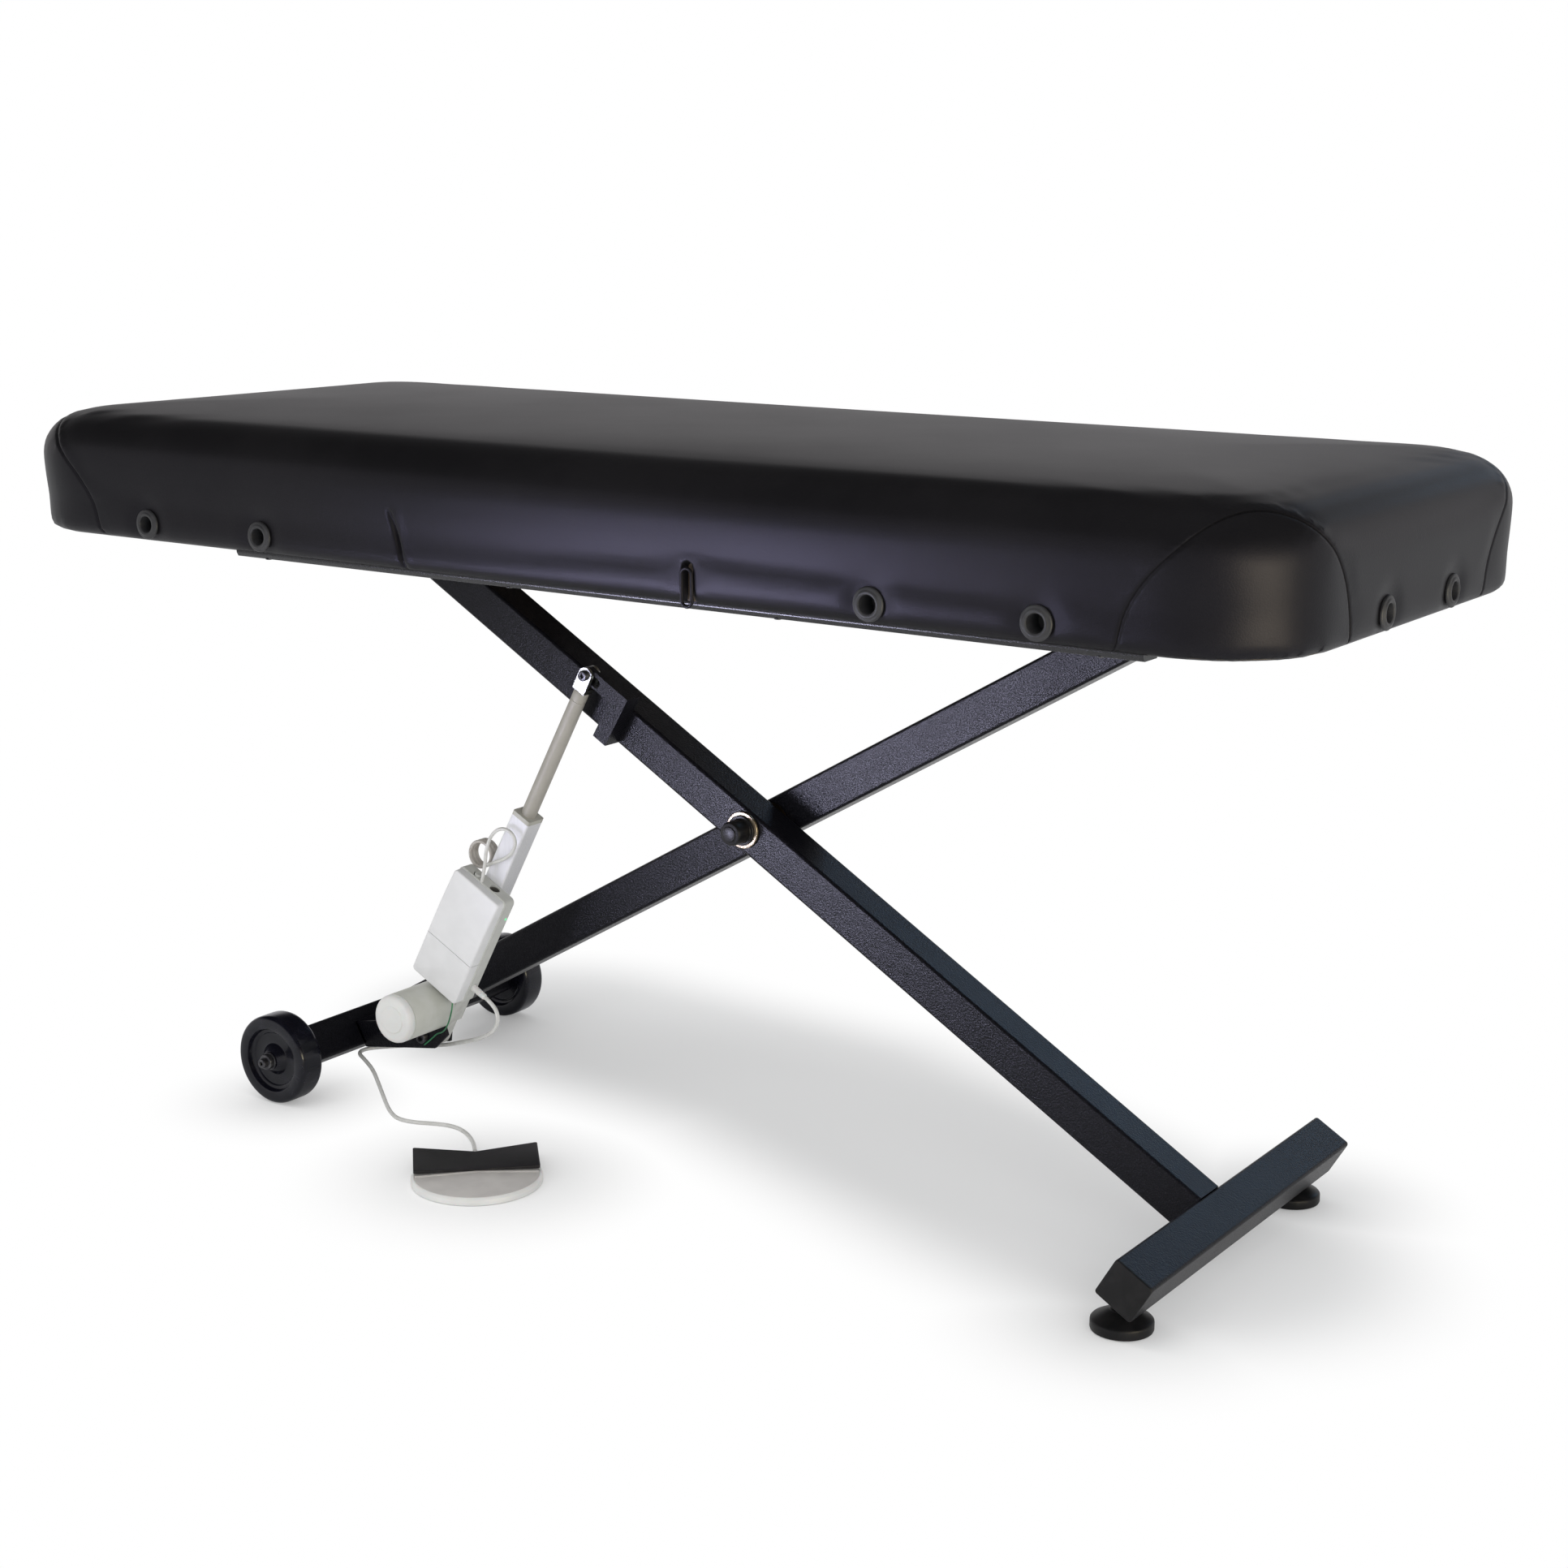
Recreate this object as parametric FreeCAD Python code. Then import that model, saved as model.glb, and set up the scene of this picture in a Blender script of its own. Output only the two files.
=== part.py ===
import FreeCAD
import Part
import math
import os
from FreeCAD import Placement, Rotation, Vector

# Electric lift massage table, in millimetres, standing raised on the floor.
# +X runs along the top towards the foot bar, +Y away from the motor side and +Z up.
# The origin is on the floor under the middle of the padded top.

# Padded top
top_length = 1778.0
top_width = 711.2
top_corner_radius = 118.0
apron_height = 70.0
apron_thickness = 18.0
deck_thickness = 12.0
foam_thickness = 66.0
foam_crown = 8.0
side_bulge = 9.5
side_band = 3.4
end_share = 0.3
edge_rounding = 52.0
end_rounding = 70.0
edge_rounding_height = 57.0
edge_steps = 6
crown_steps = 4
hem_rise = 6.0
hem_tuck = 0.9
cover_thickness = 1.5
soft_gap = 0.3
side_foam_thickness = 4.5
hem_width = 25.0
gusset_half_width = 120.0
gusset_height = 141.0
seam_gap = 0.6
slot_x = 207.0
slot_width = 6.0
slot_height = 46.0

# Accessory sockets round the top
socket_bore = 20.0
socket_barrel = 26.0
socket_flange = 37.0
socket_flange_thickness = 4.0
socket_height = 21.0
side_socket_inner_x = 437.0
side_socket_outer_x = 633.0
end_socket_spacing = 183.0
socket_seat = 3.7
socket_clearance = 0.1

# Steel under the top
rail_width = 30.0
rail_thickness = 8.0
rail_start_inset = 400.0
rail_end_inset = 144.0
rail_inset = 9.0
cross_rail_x = 250.0
screw_diameter = 6.0
screw_head = 11.0
screw_head_height = 3.0
channel_before_roller = 210.0
channel_after_roller = 50.0
channel_wall = 3.0
channel_flange = 24.0
channel_foot = 22.0
hinge_plate_thickness = 8.0
hinge_plate_width = 60.0
hinge_plate_drop = 16.0
hinge_plate_foot = 30.0
hinge_span = 284.0
hinge_shaft_diameter = 20.0
hinge_tube_diameter = 30.0
hinge_shaft_overhang = 2.0
hinge_above_pad = 34.68

# Scissor legs
tube_size = 50.8
tube_wall = 3.0
tube_corner = 4.0
leg_angle = 30.2
wheel_axle_x = -569.0
wheel_diameter = 120.0
lower_arm = 741.5
upper_arm = 725.0
leg_overhang = 20.0
near_leg_y = -36.6
leg_gap = 12.0
pivot_bolt_diameter = 20.0
pivot_cap_diameter = 30.0
pivot_cap_length = 26.0
pivot_tip_diameter = 19.0
pivot_washer_diameter = 46.0
pivot_washer_thickness = 4.0
pivot_bush_diameter = 27.0
pivot_bush_flange = 44.0
pivot_tip_length = 1.5
bolt_tail = 6.0

# Foot bar and levelling feet
foot_bar_length = 520.0
cap_thickness = 4.0
cap_plug_depth = 18.0
foot_spacing = 446.0
foot_ball_height = 28.4
foot_ball_drop = 40.0
foot_stem_grip = 6.0
foot_ball_diameter = 14.0
foot_stem_diameter = 10.0
foot_nut_width = 17.0
foot_nut_height = 5.0
foot_pad_diameter = 70.0
foot_pad_rim = 13.0
foot_pad_boss = 25.0
foot_pad_boss_diameter = 28.0
foot_pad_bevel = 2.0
foot_pad_neck = 4.0
foot_pad_neck_drop = 3.0

# Top rollers on the near leg
roller_bar_diameter = 16.0
roller_diameter = 32.0
roller_width = 14.0
roller_spacing = 330.0
roller_gap = 0.6

# Axle bar and wheels
axle_bar_length = 406.0
axle_diameter = 16.0
axle_bush_length = 30.0
wheel_width = 38.0
wheel_spacing = 458.0
wheel_hub_diameter = 34.0
wheel_recess_diameter = 86.0
wheel_recess_depth = 9.0
wheel_recess_draft = 3.0
wheel_hub_flare = 4.0
wheel_hub_rise = 1.0
wheel_edge = 6.0
wheel_side_gap = 0.5
axle_nut_diameter = 24.0
axle_nut_length = 9.0
axle_tip_diameter = 13.0
axle_tip_length = 7.0

# Linear actuator
actuator_y = -85.0
tail_pin_from_axle = 136.3
tail_pin_below = 53.4
rod_pin_along = 277.0
rod_pin_above = 38.0
tail_pin_diameter = 10.0
gearbox_width = 29.0
gearbox_half_depth = 22.0
gearbox_tail_radius = 17.0
gearbox_length = 92.0
motor_offset = 60.0
motor_diameter = 65.0
motor_neck_diameter = 46.0
motor_neck_length = 8.0
motor_length = 78.0
motor_cap_length = 10.0
motor_disc_diameter = 36.0
motor_disc_height = 1.2
actuator_tube_size = 30.0
actuator_tube_wall = 2.5
actuator_tube_end = 366.0
tube_cap_length = 6.0
rod_diameter = 20.0
rod_inside_start = 262.0
fork_length = 24.0
fork_flat = 0.6
fork_slot = 8.8
fork_slot_depth = 18.0
fork_pin_diameter = 8.0
fork_head_diameter = 13.0
fork_head_height = 6.0
fork_bolt_tail = 4.0
stroke_slot = 16.0
stroke_slot_clearance = 2.2
stroke_slot_drop = 1.3

# Bracket for the rod fork on the near leg
rod_plate_thickness = 8.0
rod_plate_width = 20.0
rod_post_width = 22.0
rod_post_along = 210.0
rod_post_bottom = 24.0

# Bracket for the actuator's tail on the axle bar
cheek_thickness = 5.0
cheek_clearance = 0.5
cheek_root_drop = 4.6
cheek_root_rise = 8.0
cheek_shoulder = 16.0
cheek_height = 30.0
cheek_flank = 28.0
cheek_flank_height = 16.0
cheek_nose = 43.0
cheek_nose_drop = 2.0
cheek_lip = 41.0
cheek_lip_drop = 13.0
cheek_heel = 10.0
cheek_heel_drop = 21.0
tail_head_diameter = 16.0
tail_head_height = 8.0

# Control box on the actuator
box_start = 96.0
box_end = 266.0
box_half_width = 43.0
box_thickness = 34.0
box_cover_thickness = 16.0
box_cover_inset = 2.5
box_corner = 7.0
box_seam_along = 162.0
box_seam_gap = 0.8
box_mount_thickness = 1.0
box_mount_width = 24.0
box_mount_inset = 20.0
box_cover_edge = 2.5
box_cover_step = 0.6
din_socket_diameter = 15.0
din_socket_y = -25.5
din_socket_recess = 3.0
plug_socket_across = -17.0
open_socket_across = 13.5
plug_diameter = 12.0
plug_rise = 2.5
lamp_diameter = 4.0
lamp_along = 236.0
lamp_y = -20.0
lamp_height = 0.8
relief_along = 122.0
relief_diameter = 9.0
relief_length = 22.0
relief_y = -110.0

# Footswitch on the floor
switch_x = -161.0
switch_y = -302.0
switch_turn = 42.7
switch_radius = 81.5
switch_base_height = 9.5
switch_edge = 3.0
switch_step_height = 2.5
switch_step_inset = 1.5
rocker_half_width = 78.0
rocker_front = -6.0
rocker_back = 74.0
rocker_waist = 9.0
rocker_middle_height = 12.4
rocker_end_height = 15.2
rocker_middle_thickness = 2.1
rocker_end_thickness = 4.8
rocker_pin_diameter = 4.0
rocker_pin_height = 7.0
rocker_hub_diameter = 8.0
rocker_hub_start = 12.0
rocker_hub_end = 56.0
rocker_hub_gap = 0.5
rocker_pin_grip = 6.0
switch_gland_diameter = 8.0
switch_gland_length = 6.0

# Cables
switch_cable_diameter = 5.4
motor_cable_diameter = 4.6
coil_radius = 17.0
coil_pitch = 6.2
coil_along = 281.5
coil_across = -37.5
coil_start_y = -12.0
coil_start = math.radians(38.0)
coil_finish = math.radians(1080.0)
coil_steps = 12
earth_wire_diameter = 2.0
floor_gap = 0.2
straight_exit = 18.0
coil_exit = 30.0

# Fits
running_clearance = 0.05
seat_clearance = 0.02
ball_clearance = 0.3
over = 1.0
beyond = 60.0

# Levels and centres that follow from the sizes above
wheel_radius = wheel_diameter / 2.0
leg_slope = math.sin(math.radians(leg_angle))
hinge_level = wheel_radius + (lower_arm + upper_arm) * leg_slope
foot_ball_fall = foot_ball_drop * math.cos(math.radians(leg_angle))
foot_arm = lower_arm + (wheel_radius - foot_ball_fall - foot_ball_height) / leg_slope
pad_bottom = hinge_level - hinge_above_pad
apron_bottom = pad_bottom + cover_thickness
apron_top = apron_bottom + apron_height
deck_top = apron_top + deck_thickness
foam_bottom = deck_top + soft_gap
foam_edge_top = foam_bottom + foam_thickness
socket_level = pad_bottom + socket_height
frame_inset = cover_thickness + side_foam_thickness
half_length = top_length / 2.0
half_width = top_width / 2.0
rail_start_x = rail_start_inset - half_length
rail_end_x = half_length - rail_end_inset
half_tube = tube_size / 2.0
tube_inside = tube_size - 2.0 * tube_wall
far_leg_y = near_leg_y + tube_size + leg_gap
near_leg_face = near_leg_y - half_tube
far_leg_face = far_leg_y + half_tube

os.makedirs("parts", exist_ok=True)


def save(name, *solids):
    shape = solids[0] if len(solids) == 1 else Part.Compound(list(solids))
    if not shape.isValid():
        print("not valid:", name)
    shape.exportStep("parts/" + name + ".step")


def tilted(origin, degrees):
    """A frame whose X axis climbs by that angle in the XZ plane, with Y kept."""
    return Placement(origin, Rotation(Vector(0, 1, 0), -degrees))


def placed(shape, place):
    return shape.transformed(place.toMatrix(), True)


def at(place, x, y, z):
    return place.multVec(Vector(x, y, z))


def block(x0, x1, y0, y1, z0, z1):
    return Part.makeBox(x1 - x0, y1 - y0, z1 - z0, Vector(x0, y0, z0))


def rod_y(diameter, y0, y1, x=0.0, z=0.0):
    return Part.makeCylinder(diameter / 2.0, y1 - y0, Vector(x, y0, z), Vector(0, 1, 0))


def rod_x(diameter, x0, x1, y=0.0, z=0.0):
    return Part.makeCylinder(diameter / 2.0, x1 - x0, Vector(x0, y, z), Vector(1, 0, 0))


def rod_z(diameter, z0, z1, x=0.0, y=0.0):
    return Part.makeCylinder(diameter / 2.0, z1 - z0, Vector(x, y, z0), Vector(0, 0, 1))


def outline(points):
    """A closed flat face through the points."""
    return Part.Face(Part.makePolygon(list(points) + [points[0]]))


def plate_xz(points, y0, y1):
    """A plate of that outline in the XZ plane, from y0 to y1."""
    face = outline([Vector(x, y0, z) for x, z in points])
    return face.extrude(Vector(0, y1 - y0, 0))


def rounded_loop(length, width, radius, z):
    """A rounded rectangle about the Z axis, four sides and four corner arcs, from the +X end."""
    a = length / 2.0
    b = width / 2.0
    r = radius
    d = r * math.sqrt(0.5)
    corners = [(1, 1), (-1, 1), (-1, -1), (1, -1)]
    edges = []
    start = Vector(a, -(b - r), z)
    for sx, sy in corners:
        centre = Vector(sx * (a - r), sy * (b - r), z)
        along_x = centre + Vector(sx * r, 0, 0)
        along_y = centre + Vector(0, sy * r, 0)
        first, last = (along_x, along_y) if sx * sy > 0 else (along_y, along_x)
        middle = centre + Vector(sx * d, sy * d, 0)
        edges.append(Part.LineSegment(start, first).toShape())
        edges.append(Part.Arc(first, middle, last).toShape())
        start = last
    return Part.Wire(edges)


def square_tube_x(x0, x1, y):
    """A square steel tube along X with rounded long edges."""
    turn = Placement(Vector(x0, y, 0), Rotation(Vector(0, 1, 0), 90))
    outer = Part.Face(rounded_loop(tube_size, tube_size, tube_corner, 0))
    inner = Part.Face(rounded_loop(tube_inside, tube_inside, tube_corner - tube_wall, 0))
    section = outer.cut(inner)
    return placed(section.extrude(Vector(0, 0, x1 - x0)), turn)


def square_tube_y(y0, y1):
    turn = Placement(Vector(0, y0, 0), Rotation(Vector(1, 0, 0), -90))
    outer = Part.Face(rounded_loop(tube_size, tube_size, tube_corner, 0))
    inner = Part.Face(rounded_loop(tube_inside, tube_inside, tube_corner - tube_wall, 0))
    section = outer.cut(inner)
    return placed(section.extrude(Vector(0, 0, y1 - y0)), turn)


def spun_y(points):
    """A ring turned about the Y axis from (radius, y) points."""
    face = outline([Vector(r, y, 0) for r, y in points])
    return face.revolve(Vector(0, 0, 0), Vector(0, 1, 0), 360)


def cord_path(points):
    """Straight runs joined by the largest tangent arcs that the runs allow, with the arc radii."""
    edges = []
    radii = []
    start = points[0]
    for i in range(1, len(points) - 1):
        a, b, c = points[i - 1], points[i], points[i + 1]
        back = (a - b).normalize()
        on = (c - b).normalize()
        turn = math.pi - back.getAngle(on)
        reach = 0.45 * min((a - b).Length, (c - b).Length)
        radius = reach / math.tan(turn / 2.0)
        middle = (back + on).normalize()
        inside = radius * (1.0 / math.cos(turn / 2.0) - 1.0)
        first = b + back * reach
        last = b + on * reach
        edges.append(Part.LineSegment(start, first).toShape())
        edges.append(Part.Arc(first, b + middle * inside, last).toShape())
        radii.append(radius)
        start = last
    edges.append(Part.LineSegment(start, points[-1]).toShape())
    return Part.Wire(edges), radii


def cord(name, points, diameter):
    wire, radii = cord_path(points)
    first = points[0]
    section = Part.Wire(Part.makeCircle(diameter / 2.0, first, points[1] - first))
    tube = wire.makePipeShell([section], True, False)
    expected = wire.Length * math.pi * diameter**2 / 4.0
    print(name, "length", round(wire.Length, 1), "volume share", round(tube.Volume / expected, 4))
    print(name, "radii", [round(r, 1) for r in radii])
    return tube


# Pivot centres of the scissor at rest
wheel_axle = Vector(wheel_axle_x, 0, wheel_radius)
center_pivot = at(tilted(wheel_axle, leg_angle), lower_arm, 0, 0)
far_leg = tilted(center_pivot, leg_angle)
near_leg = tilted(center_pivot, -leg_angle)
axle_frame = tilted(wheel_axle, leg_angle)
roller_axis = at(near_leg, -upper_arm, 0, 0)
top_hinge = at(far_leg, upper_arm, 0, 0)
tail_pin = at(axle_frame, tail_pin_from_axle, actuator_y, -tail_pin_below)
rod_pin = at(near_leg, -rod_pin_along, actuator_y, rod_pin_above)
reach = rod_pin - tail_pin
actuator_reach = reach.Length
actuator_angle = math.degrees(math.atan2(reach.z, reach.x))
actuator = tilted(tail_pin, actuator_angle)


# Padded top: loops of the outer surface, from the drawn-in hem to the crown
def pad_loops(inset, lowest):
    """Loops of the pad's outer surface moved inwards by inset, the first one at the level lowest."""
    top = foam_edge_top + cover_thickness + soft_gap
    shoulder = top - edge_rounding_height
    profile = []
    for level, out in (
        (pad_bottom, 0.0),
        (pad_bottom + hem_rise, side_band - hem_tuck),
        (pad_bottom + 2.0 * socket_height, side_band),
        ((pad_bottom + 2.0 * socket_height + shoulder) / 2.0, 0.75 * side_bulge),
    ):
        profile.append((level, out, end_share * out, 0.0, 1.0))
    for step in range(edge_steps + 1):
        turn = math.radians(90.0 * step / edge_steps)
        out = (edge_rounding + side_bulge) * math.cos(turn) - edge_rounding
        end_out = (end_rounding + end_share * side_bulge) * math.cos(turn) - end_rounding
        level = top - edge_rounding_height * (1.0 - math.sin(turn))
        profile.append((level, out, end_out, math.sin(turn), math.cos(turn)))
    for step in range(1, crown_steps + 1):
        share = 0.92 * step / crown_steps
        inward = share * (half_width - edge_rounding)
        level = top + foam_crown * (1.0 - (1.0 - share) ** 3)
        profile.append((level, -edge_rounding - inward, -end_rounding - inward, 1.0, 0.0))
    loops = []
    for i, (level, out, end_out, up, aside) in enumerate(profile):
        grow = out - inset * aside
        end_grow = end_out - inset * aside
        z = lowest if i == 0 else level - inset * up
        radius = max(top_corner_radius + grow, 0.4 * top_corner_radius)
        radius = min(radius, 0.8 * (half_width + grow))
        loops.append(rounded_loop(top_length + 2 * end_grow, top_width + 2 * grow, radius, z))
    return loops


def pad_solid(inset, lowest):
    return Part.makeLoft(pad_loops(inset, lowest), True, True)


def plan_block(inset, z0, z1):
    """A flat block of the top's plan, moved inwards by inset."""
    radius = top_corner_radius - inset
    loop = rounded_loop(top_length - 2 * inset, top_width - 2 * inset, radius, z0)
    return Part.Face(loop).extrude(Vector(0, 0, z1 - z0))


def socket_places():
    """Where each accessory socket enters, with its outward direction."""
    places = []
    end_x = half_length - (1.0 - end_share) * side_band
    for side in (-1, 1):
        for x in (-side_socket_outer_x, -side_socket_inner_x, side_socket_inner_x, side_socket_outer_x):
            places.append((Vector(x, side * half_width, socket_level), Vector(0, side, 0)))
        for y in (-end_socket_spacing / 2.0, end_socket_spacing / 2.0):
            places.append((Vector(side * end_x, y, socket_level), Vector(side, 0, 0)))
    return places


socket_inner_depth = frame_inset + apron_thickness


def socket_cylinder(place, out, diameter, inner, outer):
    """A cylinder on a socket's axis from inner to outer, measured outwards from the top's plan."""
    return Part.makeCylinder(diameter / 2.0, outer - inner, place + out * inner, out)


def socket_holes(shape):
    hole = socket_barrel + 2 * socket_clearance
    for place, out in socket_places():
        cutter = socket_cylinder(place, out, hole, -socket_inner_depth - over, beyond)
        shape = shape.cut(cutter)
    return shape


def make_sockets():
    sockets = []
    for place, out in socket_places():
        seat = socket_seat + socket_clearance
        barrel = socket_cylinder(place, out, socket_barrel, -socket_inner_depth, seat)
        seat_end = socket_seat + socket_flange_thickness
        flange = socket_cylinder(place, out, socket_flange, socket_seat, seat_end)
        rim = [e for e in flange.Edges if abs(e.CenterOfMass.sub(place).dot(out) - seat_end) < 0.01]
        flange = flange.makeFillet(socket_flange_thickness * 0.4, rim)
        bore = socket_cylinder(place, out, socket_bore, -socket_inner_depth - over, seat_end + over)
        sockets.append(barrel.fuse(flange).removeSplitter().cut(bore))
    return sockets


def gusset_prism(sx, sy, grow):
    """An arched prism on a corner's diagonal that bounds the sewn corner panel."""
    outward = Vector(sx, sy, 0).normalize()
    along = Vector(-sy, sx, 0).normalize()
    corner = Vector(sx * half_length, sy * half_width, pad_bottom)
    centre = corner - outward * (gusset_half_width * 2.0)
    a = gusset_half_width + grow
    b = gusset_height + grow
    left = centre - along * a
    right = centre + along * a
    ellipse = Part.Ellipse(centre + Vector(0, 0, b), right, centre)
    arch = Part.ArcOfEllipse(ellipse, -math.pi / 2.0, math.pi / 2.0).toShape()
    down = Vector(0, 0, -over)
    edges = [
        arch,
        Part.LineSegment(left, left + down).toShape(),
        Part.LineSegment(left + down, right + down).toShape(),
        Part.LineSegment(right + down, right).toShape(),
    ]
    face = Part.Face(Part.Wire(edges))
    return face.extrude(outward * (gusset_half_width * 2.0 + beyond))


def make_top():
    outer = pad_solid(0.0, pad_bottom)
    inner = pad_solid(cover_thickness, pad_bottom - over)
    hem = plan_block(0.0, pad_bottom, apron_bottom)
    hem = hem.cut(plan_block(hem_width, pad_bottom - over, apron_bottom + over))
    hem = hem.common(outer)
    skin = outer.cut(inner).fuse(hem).removeSplitter()
    skin = socket_holes(skin)
    slot_top = pad_bottom + slot_height
    for x in (-slot_x, slot_x):
        inside = cover_thickness - half_width
        cutter = block(x - slot_width / 2, x + slot_width / 2, -half_width - beyond, inside,
                       apron_bottom + over, slot_top)
        skin = skin.cut(cutter)
    cover = skin
    gussets = []
    for sx, sy in ((1, 1), (-1, 1), (-1, -1), (1, -1)):
        gussets.append(skin.common(gusset_prism(sx, sy, 0.0)))
        cover = cover.cut(gusset_prism(sx, sy, seam_gap))
    save("vinyl_cover", cover)
    save("corner_gussets", *[max(g.Solids, key=lambda s: s.Volume) for g in gussets])

    padding = pad_solid(cover_thickness + soft_gap, pad_bottom)
    x_out = half_length + beyond
    y_out = half_width + beyond
    upper = block(-x_out, x_out, -y_out, y_out, foam_bottom, foam_edge_top + beyond)
    save("cushion_foam", padding.common(upper))
    band = block(-x_out, x_out, -y_out, y_out, apron_bottom + soft_gap, deck_top)
    core = plan_block(frame_inset - soft_gap, pad_bottom - over, deck_top + over)
    save("side_foam", socket_holes(padding.common(band).cut(core)))

    save("deck_board", plan_block(frame_inset, apron_top, deck_top))
    frame = plan_block(frame_inset, apron_bottom, apron_top)
    frame = frame.cut(plan_block(frame_inset + apron_thickness, apron_bottom - over, apron_top + over))
    frame = socket_holes(frame)
    straight_x = half_length - top_corner_radius
    straight_y = half_width - top_corner_radius
    low, high = apron_bottom - over, apron_top + over
    near_side = frame.common(block(-straight_x, straight_x, -y_out, 0, low, high))
    far_side = frame.common(block(-straight_x, straight_x, 0, y_out, low, high))
    save("side_aprons", near_side, far_side)
    ends = []
    corners = []
    for sx in (-1, 1):
        x0, x1 = sorted((sx * straight_x, sx * x_out))
        ends.append(frame.common(block(x0, x1, -straight_y, straight_y, low, high)))
        for sy in (-1, 1):
            y0, y1 = sorted((sy * straight_y, sy * y_out))
            corners.append(frame.common(block(x0, x1, y0, y1, low, high)))
    save("end_aprons", *ends)
    save("corner_blocks", *corners)
    save("accessory_sockets", *make_sockets())


# Steel under the top: rails, roller channels and the hinge for the far leg
def make_top_frame():
    rails = []
    rail_out = half_width - rail_inset
    screw_heads = []
    for side in (-1, 1):
        y0, y1 = sorted((side * rail_out, side * (rail_out - rail_width)))
        rail = block(rail_start_x, rail_end_x, y0, y1, pad_bottom - rail_thickness, pad_bottom)
        middle = side * (half_width - frame_inset - apron_thickness / 2.0)
        for share in (0.04, 0.35, 0.65, 0.96):
            x = rail_start_x + share * (rail_end_x - rail_start_x)
            under = pad_bottom - rail_thickness
            hole = screw_diameter + 2 * seat_clearance
            rail = rail.cut(rod_z(hole, under - over, pad_bottom + over, x, middle))
            head = rod_z(screw_head, under - screw_head_height, under, x, middle)
            screw_heads.append(head.fuse(rod_z(screw_diameter, under, pad_bottom, x, middle)))
        rails.append(rail)
    save("side_rails", *rails)
    save("rail_screws", *screw_heads)
    inner = rail_out - rail_width
    crosses = []
    for x in (-cross_rail_x, cross_rail_x):
        x0, x1 = x - rail_width / 2.0, x + rail_width / 2.0
        crosses.append(block(x0, x1, -inner, inner, pad_bottom - rail_thickness, pad_bottom))
    save("cross_rails", *crosses)

    channels = []
    half_gap = roller_diameter / 2.0 + roller_gap
    low = roller_axis.z - half_gap
    high = roller_axis.z + half_gap
    for side in (-1, 1):
        web = roller_spacing / 2.0 + roller_width / 2.0 + roller_gap
        lip = web - channel_flange
        back = web + channel_wall
        foot = back + channel_foot
        section = [
            (lip, low - channel_wall), (back, low - channel_wall), (back, apron_top - channel_wall),
            (foot, apron_top - channel_wall), (foot, apron_top), (web, apron_top),
            (web, high + channel_wall), (lip, high + channel_wall), (lip, high), (web, high),
            (web, low), (lip, low),
        ]
        start = roller_axis.x - channel_before_roller
        face = outline([Vector(start, side * y, z) for y, z in section])
        channels.append(face.extrude(Vector(channel_before_roller + channel_after_roller, 0, 0)))
    save("roller_channels", *channels)

    plates = []
    for side in (-1, 1):
        y0, y1 = sorted((side * hinge_span / 2.0, side * (hinge_span / 2.0 + hinge_plate_thickness)))
        x0 = top_hinge.x - hinge_plate_width / 2.0
        x1 = top_hinge.x + hinge_plate_width / 2.0
        plate = block(x0, x1, y0, y1, top_hinge.z - hinge_plate_drop, apron_top)
        f0, f1 = sorted((side * hinge_span / 2.0, side * (hinge_span / 2.0 + hinge_plate_foot)))
        flange = block(x0, x1, f0, f1, apron_top - hinge_plate_thickness, apron_top)
        plate = plate.fuse(flange).removeSplitter()
        bore = hinge_shaft_diameter + 2 * seat_clearance
        plates.append(plate.cut(rod_y(bore, y0 - over, y1 + over, top_hinge.x, top_hinge.z)))
    save("hinge_brackets", *plates)
    shaft_end = hinge_span / 2.0 + hinge_plate_thickness + hinge_shaft_overhang
    save("hinge_shaft", rod_y(hinge_shaft_diameter, -shaft_end, shaft_end, top_hinge.x, top_hinge.z))


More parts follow.
